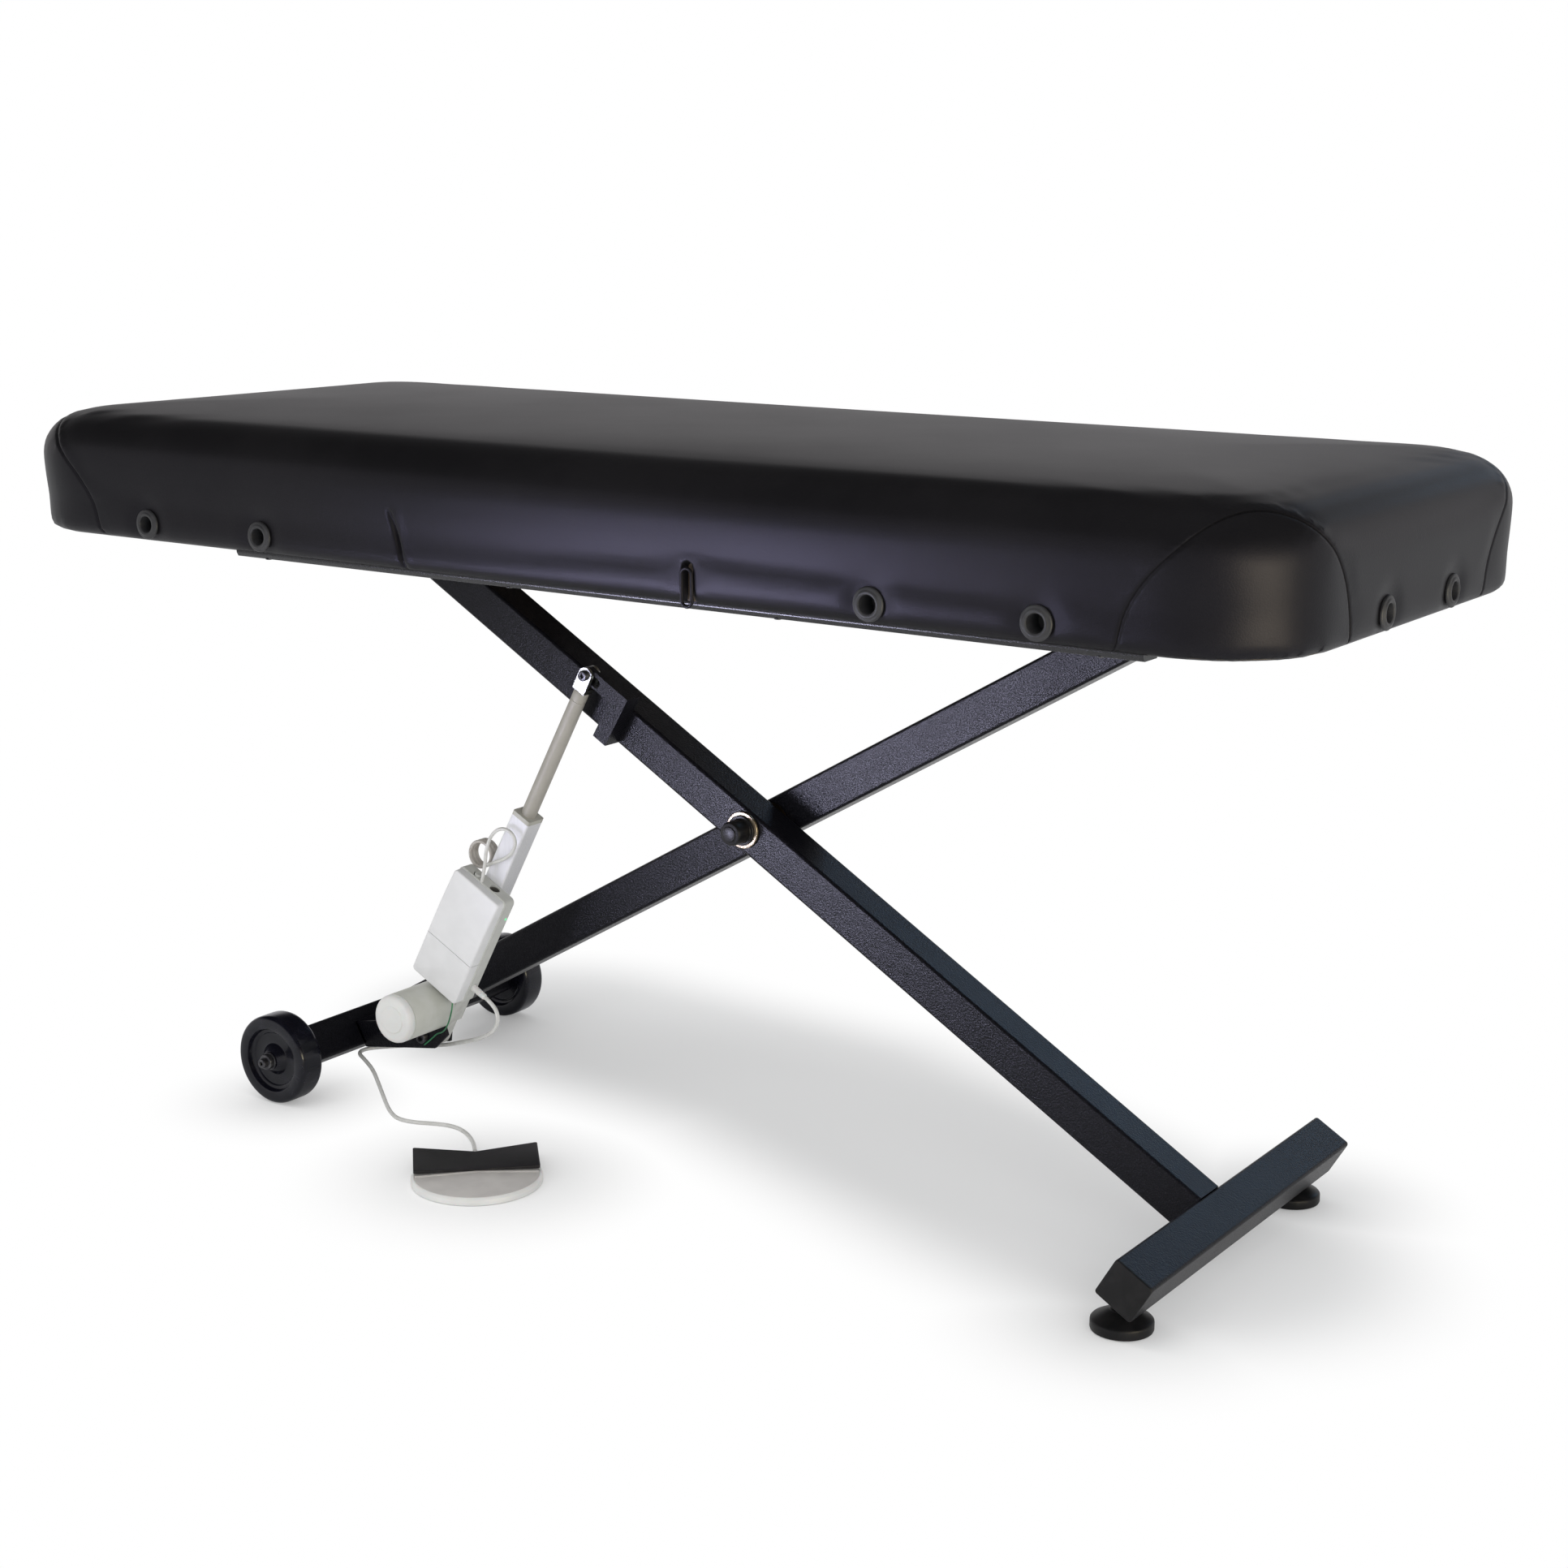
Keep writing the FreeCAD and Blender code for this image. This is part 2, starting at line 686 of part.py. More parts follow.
# Near leg, from the roller bar down to the foot bar
def make_near_leg():
    y0, y1 = near_leg_face, near_leg_face + tube_size
    leg = square_tube_x(-upper_arm - leg_overhang, foot_arm - half_tube, near_leg_y)
    leg = leg.cut(rod_y(pivot_bush_diameter + 2 * seat_clearance, y0 - over, y1 + over))
    leg = leg.cut(rod_y(roller_bar_diameter + 2 * seat_clearance, y0 - over, y1 + over, -upper_arm))
    save("near_leg_tube", placed(leg, near_leg))

    bush = rod_y(pivot_bush_diameter, y0, y1)
    bush = bush.fuse(rod_y(pivot_bush_flange, y1, y1 + leg_gap - roller_gap)).removeSplitter()
    bush = bush.cut(rod_y(pivot_bolt_diameter + 2 * running_clearance, y0 - over, y1 + leg_gap + over))
    save("pivot_bush", placed(bush, near_leg))

    foot = Placement(Vector(foot_arm, 0, 0), Rotation())
    half_bar = foot_bar_length / 2.0
    bar = square_tube_y(-half_bar, half_bar)
    stems = []
    caps = []
    for side in (-1, 1):
        y = side * foot_spacing / 2.0
        bar = bar.cut(rod_z(foot_stem_diameter + 2 * seat_clearance, -half_tube - over, 0, 0, y))
        stem = rod_z(foot_stem_diameter, -foot_ball_drop, -half_tube + tube_wall + foot_stem_grip, 0, y)
        ball = Part.makeSphere(foot_ball_diameter / 2.0, Vector(0, y, -foot_ball_drop))
        nut_loop = [
            Vector(foot_nut_width / math.sqrt(3) * math.cos(k * math.pi / 3),
                   y + foot_nut_width / math.sqrt(3) * math.sin(k * math.pi / 3),
                   -half_tube - foot_nut_height)
            for k in range(6)
        ]
        nut = outline(nut_loop).extrude(Vector(0, 0, foot_nut_height))
        stems.append(placed(placed(stem.fuse([ball, nut]).removeSplitter(), foot), near_leg))
        out0, out1 = sorted((side * half_bar, side * (half_bar + cap_thickness)))
        plate = block(-half_tube, half_tube, out0, out1, -half_tube, half_tube)
        long_edges = [e for e in plate.Edges if abs(e.Vertexes[0].Y - e.Vertexes[1].Y) > 1.0]
        plate = plate.makeFillet(tube_corner, long_edges)
        in0, in1 = sorted((side * half_bar, side * (half_bar - cap_plug_depth)))
        plug_half = tube_inside / 2.0 - seat_clearance
        plug = block(-plug_half, plug_half, in0, in1, -plug_half, plug_half)
        plug_edges = [e for e in plug.Edges if abs(e.Vertexes[0].Y - e.Vertexes[1].Y) > 1.0]
        plug = plug.makeFillet(tube_corner - tube_wall, plug_edges)
        caps.append(placed(placed(plate.fuse(plug).removeSplitter(), foot), near_leg))
    save("foot_bar", placed(placed(bar, foot), near_leg))
    save("foot_bar_caps", *caps)
    save("leveling_stems", *stems)

    bar_end = roller_spacing / 2.0 + roller_width / 2.0
    save("roller_bar", rod_y(roller_bar_diameter, -bar_end, bar_end, roller_axis.x, roller_axis.z))
    for name, side in (("roller_near", -1), ("roller_far", 1)):
        y = side * roller_spacing / 2.0
        y0, y1 = y - roller_width / 2.0, y + roller_width / 2.0
        ring = rod_y(roller_diameter, y0, y1, roller_axis.x, roller_axis.z)
        bore = roller_bar_diameter + 2 * running_clearance
        save(name, ring.cut(rod_y(bore, y0 - over, y1 + over, roller_axis.x, roller_axis.z)))

    make_rod_bracket()
    make_leveling_pads()


def make_rod_bracket():
    """Post and arm that hold the rod's fork off the near leg, with a slotted pin hole."""
    y0 = actuator_y - rod_plate_thickness / 2.0
    y1 = actuator_y + rod_plate_thickness / 2.0
    half = rod_plate_width / 2.0
    arm = block(-rod_pin_along, -rod_post_along, y0, y1, rod_pin_above - half, rod_pin_above + half)
    arm = arm.fuse(rod_y(rod_plate_width, y0, y1, -rod_pin_along, rod_pin_above))
    post_top = rod_pin_above + half
    post_end = -rod_post_along - rod_post_width
    post = block(post_end, -rod_post_along, y0, near_leg_face, -rod_post_bottom, post_top)
    bracket = arm.fuse(post).removeSplitter()
    slot = fork_pin_diameter + 2 * stroke_slot_clearance
    drop = rod_pin_above - stroke_slot_drop
    cutter = rod_y(slot, y0 - over, y1 + over, -rod_pin_along, drop)
    cutter = cutter.fuse(rod_y(slot, y0 - over, y1 + over, -rod_pin_along + stroke_slot, drop))
    cutter = cutter.fuse(block(-rod_pin_along, -rod_pin_along + stroke_slot, y0 - over, y1 + over,
                               drop - slot / 2.0, drop + slot / 2.0))
    save("rod_bracket", placed(bracket.cut(cutter.removeSplitter()), near_leg))


def make_leveling_pads():
    pads = []
    ball = at(near_leg, foot_arm, 0, -foot_ball_drop)
    radius = foot_pad_diameter / 2.0
    boss = foot_pad_boss_diameter / 2.0
    for side in (-1, 1):
        y = side * foot_spacing / 2.0
        flat = radius - foot_pad_bevel
        profile = [
            (0, 0), (flat, 0), (radius, foot_pad_bevel), (radius, foot_pad_rim - foot_pad_bevel),
            (flat, foot_pad_rim), (boss + foot_pad_neck, foot_pad_boss - foot_pad_neck_drop),
            (boss, foot_pad_boss), (0, foot_pad_boss),
        ]
        face = outline([Vector(r, 0, z) for r, z in profile])
        pad = face.revolve(Vector(0, 0, 0), Vector(0, 0, 1), 360)
        pad.translate(Vector(ball.x, y, 0))
        socket = Part.makeSphere(foot_ball_diameter / 2.0 + ball_clearance, Vector(ball.x, y, ball.z))
        pads.append(pad.cut(socket))
    save("leveling_pads", *pads)


# Far leg, from the top hinge down to the axle bar
def make_far_leg():
    y0, y1 = far_leg_face - tube_size, far_leg_face
    leg = square_tube_x(-lower_arm + half_tube, upper_arm + leg_overhang, far_leg_y)
    leg = leg.cut(rod_y(pivot_bolt_diameter + 2 * seat_clearance, y0 - over, y1 + over))
    leg = leg.cut(rod_y(hinge_tube_diameter + 2 * seat_clearance, y0 - over, y1 + over, upper_arm))
    save("far_leg_tube", placed(leg, far_leg))
    tube_end = hinge_span / 2.0 - roller_gap
    sleeve = rod_y(hinge_tube_diameter, -tube_end, tube_end, top_hinge.x, top_hinge.z)
    bore = hinge_shaft_diameter + 2 * running_clearance
    save("hinge_sleeve", sleeve.cut(rod_y(bore, -tube_end - over, tube_end + over, top_hinge.x, top_hinge.z)))

    washer_far = near_leg_face - roller_gap
    washer_near = washer_far - pivot_washer_thickness
    cap_near = washer_near - pivot_cap_length
    shank = rod_y(pivot_bolt_diameter, washer_near, y1 + bolt_tail)
    cap = rod_y(pivot_cap_diameter, cap_near, washer_near)
    near_rim = [e for e in cap.Edges if abs(e.CenterOfMass.y - cap_near) < 0.01]
    cap = cap.makeFillet(pivot_cap_length * 0.2, near_rim)
    tip = rod_y(pivot_tip_diameter, cap_near - pivot_tip_length, cap_near + over)
    save("pivot_bolt", placed(shank.fuse([cap, tip]).removeSplitter(), far_leg))
    washer = rod_y(pivot_washer_diameter, washer_near, washer_far)
    hole = rod_y(pivot_bolt_diameter + 2 * seat_clearance, washer_near - over, washer_far + over)
    save("pivot_washer", placed(washer.cut(hole), far_leg))

    half_bar = axle_bar_length / 2.0
    save("axle_bar", placed(square_tube_y(-half_bar, half_bar), axle_frame))
    bushes = []
    for side in (-1, 1):
        in0, in1 = sorted((side * half_bar, side * (half_bar - axle_bush_length)))
        half = tube_inside / 2.0 - seat_clearance
        bush = block(-half, half, in0, in1, -half, half)
        edges = [e for e in bush.Edges if abs(e.Vertexes[0].Y - e.Vertexes[1].Y) > 1.0]
        bush = bush.makeFillet(tube_corner - tube_wall, edges)
        bush = bush.cut(rod_y(axle_diameter + 2 * running_clearance, in0 - over, in1 + over))
        bushes.append(placed(bush, axle_frame))
    save("axle_bushes", *bushes)
    make_tail_bracket()


def make_tail_bracket():
    """Bent plate with two cheeks, welded to the axle bar's face."""
    px, pz = tail_pin_from_axle, -tail_pin_below
    near = actuator_y - gearbox_width / 2.0 - cheek_clearance - cheek_thickness
    far = actuator_y + gearbox_width / 2.0 + cheek_clearance + cheek_thickness
    root = half_tube
    cheek = [
        (root, -half_tube - cheek_root_drop), (root, cheek_root_rise),
        (px - cheek_shoulder, pz + cheek_height), (px + cheek_flank, pz + cheek_flank_height),
        (px + cheek_nose, pz - cheek_nose_drop), (px + cheek_lip, pz - cheek_lip_drop),
        (px + cheek_heel, pz - cheek_heel_drop),
    ]
    plates = plate_xz(cheek, near, near + cheek_thickness)
    plates = plates.fuse(plate_xz(cheek, far - cheek_thickness, far))
    back = block(root, root + cheek_thickness, near, far, -half_tube, cheek_root_rise)
    bracket = plates.fuse(back).removeSplitter()
    hole = rod_y(tail_pin_diameter + 2 * seat_clearance, near - over, far + over, px, pz)
    save("tail_bracket", placed(bracket.cut(hole), axle_frame))
    head_end = near - tail_head_height
    head = rod_y(tail_head_diameter, head_end, near, px, pz)
    socket = rod_y(tail_pin_diameter * 0.6, head_end - over, head_end + tail_head_height * 0.5, px, pz)
    bolt = head.cut(socket).fuse(rod_y(tail_pin_diameter, near, far + bolt_tail, px, pz)).removeSplitter()
    save("tail_bolt", placed(bolt, axle_frame))


# Axle, wheels and footswitch stand on the floor
def make_axle_and_wheels():
    outer = wheel_spacing / 2.0 + wheel_width / 2.0
    inner = wheel_spacing / 2.0 - wheel_width / 2.0
    hub_in = axle_bar_length / 2.0 + wheel_side_gap
    hub_out = outer + wheel_hub_rise
    nut_in = hub_out + wheel_side_gap
    nut_out = nut_in + axle_nut_length
    shaft = rod_y(axle_diameter, -nut_in, nut_in)
    place = Placement(wheel_axle, Rotation())
    save("axle_shaft", placed(shaft, place))
    nuts = []
    for side in (-1, 1):
        n0, n1 = sorted((side * nut_in, side * nut_out))
        t0, t1 = sorted((side * nut_out, side * (nut_out + axle_tip_length)))
        nut = rod_y(axle_nut_diameter, n0, n1).fuse(rod_y(axle_tip_diameter, t0, t1)).removeSplitter()
        nuts.append(placed(nut, place))
    save("axle_nuts", *nuts)
    bore = axle_diameter / 2.0 + running_clearance
    recess = wheel_recess_diameter / 2.0
    hub = wheel_hub_diameter / 2.0
    rim = wheel_radius
    web_out = outer - wheel_recess_depth
    web_in = inner + wheel_recess_depth
    profile = [
        (bore, hub_in), (hub, hub_in), (hub + wheel_hub_flare, web_in), (recess - wheel_recess_draft, web_in),
        (recess, inner),
        (rim - wheel_edge, inner), (rim, inner + wheel_edge), (rim, outer - wheel_edge),
        (rim - wheel_edge, outer),
        (recess, outer), (recess - wheel_recess_draft, web_out), (hub + wheel_hub_flare, web_out),
        (hub - wheel_hub_flare, hub_out), (bore, hub_out),
    ]
    for name, side in (("wheel_near", -1), ("wheel_far", 1)):
        wheel = spun_y([(r, side * y) for r, y in profile])
        save(name, placed(wheel, place))


switch_frame = Placement(Vector(switch_x, switch_y, 0), Rotation(Vector(0, 0, 1), switch_turn))


def rocker_plan(inset):
    """Corners of the rocker's plan, drawn in at its waist, moved inwards by inset."""
    wide = rocker_half_width - inset
    front = rocker_front + inset
    back = rocker_back - inset
    return [
        (-wide, front), (0, front + rocker_waist), (wide, front),
        (wide, back), (0, back - rocker_waist), (-wide, back),
    ]


def make_footswitch():
    base = rod_z(2.0 * switch_radius, 0, switch_base_height)
    upper = [e for e in base.Edges if e.BoundBox.ZMin > switch_base_height - 0.01]
    base = base.makeFillet(switch_edge, upper)
    step_top = switch_base_height + switch_step_height
    step_face = outline([Vector(x, y, switch_base_height - over) for x, y in rocker_plan(switch_step_inset)])
    step = step_face.extrude(Vector(0, 0, switch_step_height + over))
    step = step.common(rod_z(2.0 * (switch_radius - switch_edge), 0, step_top))
    gland_end = switch_radius + switch_gland_length
    gland_start = switch_radius - switch_gland_length
    gland = rod_y(switch_gland_diameter, gland_start, gland_end, 0, switch_base_height / 2.0)
    base = base.fuse([step, gland]).removeSplitter()
    hub = rocker_hub_diameter / 2.0
    room = hub + rocker_hub_gap
    slot_start = rocker_hub_start - rocker_hub_gap
    slot_end = rocker_hub_end + rocker_hub_gap
    slot = block(-room, room, slot_start, slot_end, rocker_pin_height - room, step_top + over)
    pin_start = rocker_hub_start - rocker_pin_grip
    pin_end = rocker_hub_end + rocker_pin_grip
    pin_hole = rod_y(rocker_pin_diameter + 2 * seat_clearance, pin_start, pin_end, 0, rocker_pin_height)
    save("footswitch_base", placed(base.cut(slot).cut(pin_hole), switch_frame))
    pin = rod_y(rocker_pin_diameter, pin_start, pin_end, 0, rocker_pin_height)
    save("footswitch_pin", placed(pin, switch_frame))
    low, high = rocker_middle_height, rocker_end_height
    section = [
        (-rocker_half_width, high), (0, low), (rocker_half_width, high),
        (rocker_half_width, high + rocker_end_thickness), (0, low + rocker_middle_thickness),
        (-rocker_half_width, high + rocker_end_thickness),
    ]
    wings = plate_xz(section, rocker_front - over, rocker_back + over)
    plan = outline([Vector(x, y, 0) for x, y in rocker_plan(0.0)])
    wings = wings.common(plan.extrude(Vector(0, 0, beyond)))
    barrel = rod_y(rocker_hub_diameter, rocker_hub_start, rocker_hub_end, 0, rocker_pin_height)
    web = block(-hub / 2.0, hub / 2.0, rocker_hub_start, rocker_hub_end, rocker_pin_height, low + over)
    bore = rocker_pin_diameter + 2 * running_clearance
    hole = rod_y(bore, rocker_hub_start - over, rocker_hub_end + over, 0, rocker_pin_height)
    rocker = wings.fuse([barrel, web]).removeSplitter().cut(hole)
    save("footswitch_rocker", placed(rocker, switch_frame))


# Actuator: gearbox, motor, tube and the control box clipped to it
def make_actuator():
    half = gearbox_width / 2.0
    tail = rod_y(gearbox_tail_radius * 2.0, -half, half)
    neck = block(0, motor_offset, -half, half, -gearbox_tail_radius, gearbox_tail_radius)
    body = block(motor_offset - gearbox_half_depth, gearbox_length, -half, half,
                 -gearbox_half_depth, gearbox_half_depth)
    gearbox = tail.fuse([neck, body]).removeSplitter()
    gearbox = gearbox.cut(rod_y(tail_pin_diameter + 2 * running_clearance, -half - over, half + over))
    save("actuator_gearbox", placed(gearbox, actuator))

    motor_start = -half
    motor_back = motor_start - motor_neck_length
    motor_front = motor_back - motor_length
    neck = rod_y(motor_neck_diameter, motor_back, motor_start, motor_offset)
    can = rod_y(motor_diameter, motor_front, motor_back, motor_offset)
    save("motor_housing", placed(neck.fuse(can).removeSplitter(), actuator))
    cap_front = motor_front - motor_cap_length
    cap = rod_y(motor_diameter, cap_front, motor_front, motor_offset)
    rim = [e for e in cap.Edges if abs(e.CenterOfMass.y - cap_front) < 0.01]
    cap = cap.makeFillet(motor_cap_length * 0.6, rim)
    disc = rod_y(motor_disc_diameter, cap_front - motor_disc_height, cap_front + over, motor_offset)
    save("motor_cap", placed(cap.fuse(disc).removeSplitter(), actuator))

    size = actuator_tube_size / 2.0
    hollow = size - actuator_tube_wall
    tube = block(gearbox_length, actuator_tube_end, -size, size, -size, size)
    edges = [e for e in tube.Edges if abs(e.Vertexes[0].X - e.Vertexes[1].X) > 1.0]
    tube = tube.makeFillet(actuator_tube_wall, edges)
    tube = tube.cut(block(gearbox_length - over, actuator_tube_end + over, -hollow, hollow, -hollow, hollow))
    save("actuator_tube", placed(tube, actuator))
    cap_end = actuator_tube_end + tube_cap_length
    end_cap = block(actuator_tube_end, cap_end, -size, size, -size, size)
    edges = [e for e in end_cap.Edges if abs(e.Vertexes[0].X - e.Vertexes[1].X) > 1.0]
    end_cap = end_cap.makeFillet(actuator_tube_wall, edges)
    hole = rod_x(rod_diameter + 2 * running_clearance, actuator_tube_end - over, cap_end + over)
    save("tube_end_cap", placed(end_cap.cut(hole), actuator))

    fork_start = actuator_reach - fork_length
    save("actuator_rod", placed(rod_x(rod_diameter, rod_inside_start, fork_start), actuator))
    radius = rod_diameter / 2.0
    side = radius - fork_flat
    corners = [
        Vector(actuator_reach, -side, radius), Vector(fork_start, -side, radius),
        Vector(fork_start, -side, -radius), Vector(actuator_reach, -side, -radius),
    ]
    nose = Part.Arc(corners[3], Vector(actuator_reach + radius, -side, 0), corners[0]).toShape()
    fork = Part.Face(Part.Wire(Part.makePolygon(corners).Edges + [nose])).extrude(Vector(0, 2.0 * side, 0))
    wide = radius + over
    slot_start = actuator_reach - fork_slot_depth
    slot = block(slot_start, actuator_reach + wide, -fork_slot / 2, fork_slot / 2, -wide, wide)
    fork = fork.cut(slot)
    fork = fork.cut(rod_y(fork_pin_diameter + 2 * seat_clearance, -wide, wide, actuator_reach))
    save("rod_fork", placed(fork, actuator))
    head = rod_y(fork_head_diameter, -side - fork_head_height, -side, actuator_reach)
    socket = rod_y(fork_pin_diameter * 0.6, -side - fork_head_height - over, -side - fork_head_height * 0.5,
                   actuator_reach)
    shank = rod_y(fork_pin_diameter, -side, side + fork_bolt_tail, actuator_reach)
    save("fork_bolt", placed(head.cut(socket).fuse(shank).removeSplitter(), actuator))
    make_control_box()


box_back = -actuator_tube_size / 2.0 - box_mount_thickness
box_split = box_back - (box_thickness - box_cover_thickness)
box_front = box_back - box_thickness


def make_control_box():
    width = box_half_width
    base = block(box_start, box_end, box_split, box_back, -width, width)
    edges = [e for e in base.Edges if abs(e.Vertexes[0].Y - e.Vertexes[1].Y) > 1.0]
    base = base.makeFillet(box_corner, edges)
    mount = box_mount_width / 2.0
    clip = block(box_start + box_mount_inset, box_end - box_mount_inset,
                 box_back, box_back + box_mount_thickness, -mount, mount)
    base = base.fuse(clip).removeSplitter()
    for across in (plug_socket_across, open_socket_across):
        floor = box_end - din_socket_recess
        base = base.cut(rod_x(din_socket_diameter, floor, box_end + over, din_socket_y, -across))
    save("control_box_base", placed(base, actuator))

    def cover_loop(y, inset):
        x0, x1 = box_start + inset, box_end - inset
        w = width - inset
        middle = (x0 + x1) / 2.0
        turn = Placement(Vector(middle, y, 0), Rotation(Vector(1, 0, 0), 90))
        return placed(rounded_loop(x1 - x0, 2 * w, box_corner, 0), turn)

    loops = [
        cover_loop(box_split, box_cover_step), cover_loop(box_front + box_cover_edge, box_cover_inset * 0.6),
        cover_loop(box_front, box_cover_inset),
    ]
    cover = Part.makeLoft(loops, True, True)
    half_seam = box_seam_gap / 2.0
    y0, y1 = box_front - over, box_split + over
    upper = block(box_seam_along + half_seam, box_end + over, y0, y1, -width, width)
    lower = block(box_start - over, box_seam_along - half_seam, y0, y1, -width, width)
    save("control_box_cover", placed(cover.common(upper), actuator))
    save("control_box_lid", placed(cover.common(lower), actuator))

    plug_end = box_end + plug_rise
    plug = rod_x(plug_diameter, box_end - din_socket_recess, plug_end, din_socket_y, -plug_socket_across)
    rim = [e for e in plug.Edges if abs(e.CenterOfMass.x - plug_end) < 0.01]
    save("socket_plug", placed(plug.makeFillet(plug_rise * 0.6, rim), actuator))
    lamp = rod_z(lamp_diameter, -width - lamp_height, -width, lamp_along, lamp_y)
    save("status_lamp", placed(lamp, actuator))
    relief = rod_z(relief_diameter, -width - relief_length, -width, relief_along, relief_y - actuator_y)
    save("strain_relief", placed(relief, actuator))


# Cables: switch cable, motor cable with its spare turns, and the earth wire
def on_actuator(along, y, across):
    """A point measured up the actuator, away from the viewer and to its right-hand side."""
    return at(actuator, along, y, -across)


def make_switch_cable():
    """From the strain relief down behind the tail bracket, then along the floor to the footswitch."""
    relief_out = relief_y - actuator_y
    relief_end = box_half_width + relief_length

    def by_tail_pin(x, y, z):
        return tail_pin + Vector(x, y, z)

    def by_axle(x, y, z):
        return wheel_axle + Vector(x, y, z)

    def by_switch(x, y, z):
        return Vector(switch_x + x, switch_y + y, z)

    join = by_axle(47, -72.5, -20)
    upper = [
        on_actuator(relief_along, relief_out, relief_end),
        on_actuator(relief_along, relief_out, relief_end + straight_exit),
        by_tail_pin(137.5, -25, 53), by_tail_pin(128, -23, 33), by_tail_pin(98, -17, 15.5),
        by_tail_pin(53, -7, -1.5), by_tail_pin(0, 25, -24.5), by_axle(99, -55, -13),
        by_axle(65, -58, -19), join,
    ]
    save("switch_cable_upper", cord("switch_cable_upper", upper, switch_cable_diameter))
    gland_reach = switch_radius + switch_gland_length
    gland_end = switch_frame.multVec(Vector(0, gland_reach, switch_base_height / 2.0))
    gland_lead = switch_frame.multVec(Vector(0, gland_reach + straight_exit, switch_base_height / 2.0))
    lie = switch_cable_diameter / 2.0 + floor_gap
    floor = [
        join, by_axle(27.2, -88.45, -21.1), by_axle(28, -112, -21), by_axle(53, -124, -23.5),
        by_axle(79, -136, -29), by_axle(105, -153.5, -38), by_axle(132, -172.5, -47),
        by_axle(158, -190.5, -54.4), by_switch(-225, 99.5, lie), by_switch(-197, 103, lie),
        by_switch(-173, 115, lie), by_switch(-148, 122, lie), by_switch(-122, 116, lie),
        by_switch(-94, 98, 3.6), gland_lead, gland_end,
    ]
    save("switch_cable_floor", cord("switch_cable_floor", floor, switch_cable_diameter))


def coil_point(turn):
    """A place on the motor cable's spare turns, in the actuator's directions, with its heading."""
    climb = coil_pitch / (2.0 * math.pi)
    place = on_actuator(coil_along - coil_radius * math.sin(turn), coil_start_y + climb * (turn - coil_start),
                        coil_across + coil_radius * math.cos(turn))
    ahead = on_actuator(-coil_radius * math.cos(turn), climb, -coil_radius * math.sin(turn))
    return place, (ahead - on_actuator(0, 0, 0)).normalize()


def corner_arc(first, corner, last):
    """The arc from first to last that is tangent to both lines through the corner."""
    back = (first - corner).normalize()
    on = (last - corner).normalize()
    half = (math.pi - back.getAngle(on)) / 2.0
    radius = (first - corner).Length / math.tan(half)
    inside = radius * (1.0 / math.cos(half) - 1.0)
    return Part.Arc(first, corner + (back + on).normalize() * inside, last).toShape()


def coil_edges(steps):
    """Pairs of tangent arcs, about a quarter turn each, along the spare turns."""
    edges = []
    for i in range(steps):
        p0, t0 = coil_point(coil_start + (coil_finish - coil_start) * i / steps)
        p1, t1 = coil_point(coil_start + (coil_finish - coil_start) * (i + 1) / steps)
        chord = p1 - p0
        sway = t0 + t1
        a = 4.0 - sway.dot(sway)
        b = chord.dot(sway)
        arm = (math.sqrt(b * b + a * chord.dot(chord)) - b) / a
        near = p0 + t0 * arm
        far = p1 - t1 * arm
        middle = (near + far) * 0.5
        edges.append(corner_arc(p0, near, middle))
        edges.append(corner_arc(middle, far, p1))
    return edges


def make_motor_cable():
    start, start_way = coil_point(coil_start)
    finish, finish_way = coil_point(coil_finish)
    lead_in = start - start_way * motor_cable_diameter
    lead_out = finish + finish_way * motor_cable_diameter
    edges = [Part.LineSegment(lead_in, start).toShape()]
    edges += coil_edges(coil_steps)
    edges.append(Part.LineSegment(finish, lead_out).toShape())
    wire = Part.Wire(edges)
    section = Part.Wire(Part.makeCircle(motor_cable_diameter / 2.0, lead_in, start_way))
    coil = wire.makePipeShell([section], True, False)
    save("motor_cable_coil", coil)
    samples = wire.discretize(Distance=1.0)
    apart = int(math.pi * coil_radius)
    least = min((samples[i] - samples[j]).Length
                for i in range(len(samples)) for j in range(i + apart, len(samples)))
    expected = wire.Length * math.pi * motor_cable_diameter**2 / 4.0
    print("motor_cable_coil least gap", round(least - motor_cable_diameter, 2),
          "length", round(wire.Length, 1), "volume share", round(coil.Volume / expected, 4))

    loop = [
        on_actuator(box_end, -32.5, -5.0), on_actuator(286, -32, -9.5), on_actuator(308, -31, -19),
        on_actuator(329, -30, -21.5), on_actuator(346, -28.5, -14.5), on_actuator(352, -26.5, 1),
        on_actuator(343, -25, 14.5), on_actuator(326, -23.5, 15), on_actuator(308, -22.5, 6),
        on_actuator(291, -21.5, -8.5), lead_in,
    ]
    save("motor_cable_loop", cord("motor_cable_loop", loop, motor_cable_diameter))
    tail = [
        lead_out, lead_out + finish_way * coil_exit, on_actuator(208, 4, -20.6), on_actuator(158, 1, -20),
        on_actuator(118, 0, -18.9), on_actuator(gearbox_length, 0, -18.9),
    ]
    save("motor_cable_tail", cord("motor_cable_tail", tail, motor_cable_diameter))


def make_earth_wire():
    route = [
        on_actuator(box_start - 0.5, -36, 26), on_actuator(87, -39, 33), on_actuator(76, -42, 38),
        on_actuator(60, -42, 40), on_actuator(41, -36, 34.5), on_actuator(25, -27, 21),
        on_actuator(7, -23.5, 14), on_actuator(-9, -21.2, 6.5),
    ]
    save("earth_wire", cord("earth_wire", route, earth_wire_diameter))


make_top()
make_top_frame()
make_near_leg()
make_far_leg()
make_axle_and_wheels()
make_footswitch()
make_actuator()
make_switch_cable()
make_motor_cable()
make_earth_wire()
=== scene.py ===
import math

import bmesh
import bpy
from mathutils import Euler, Matrix, Vector


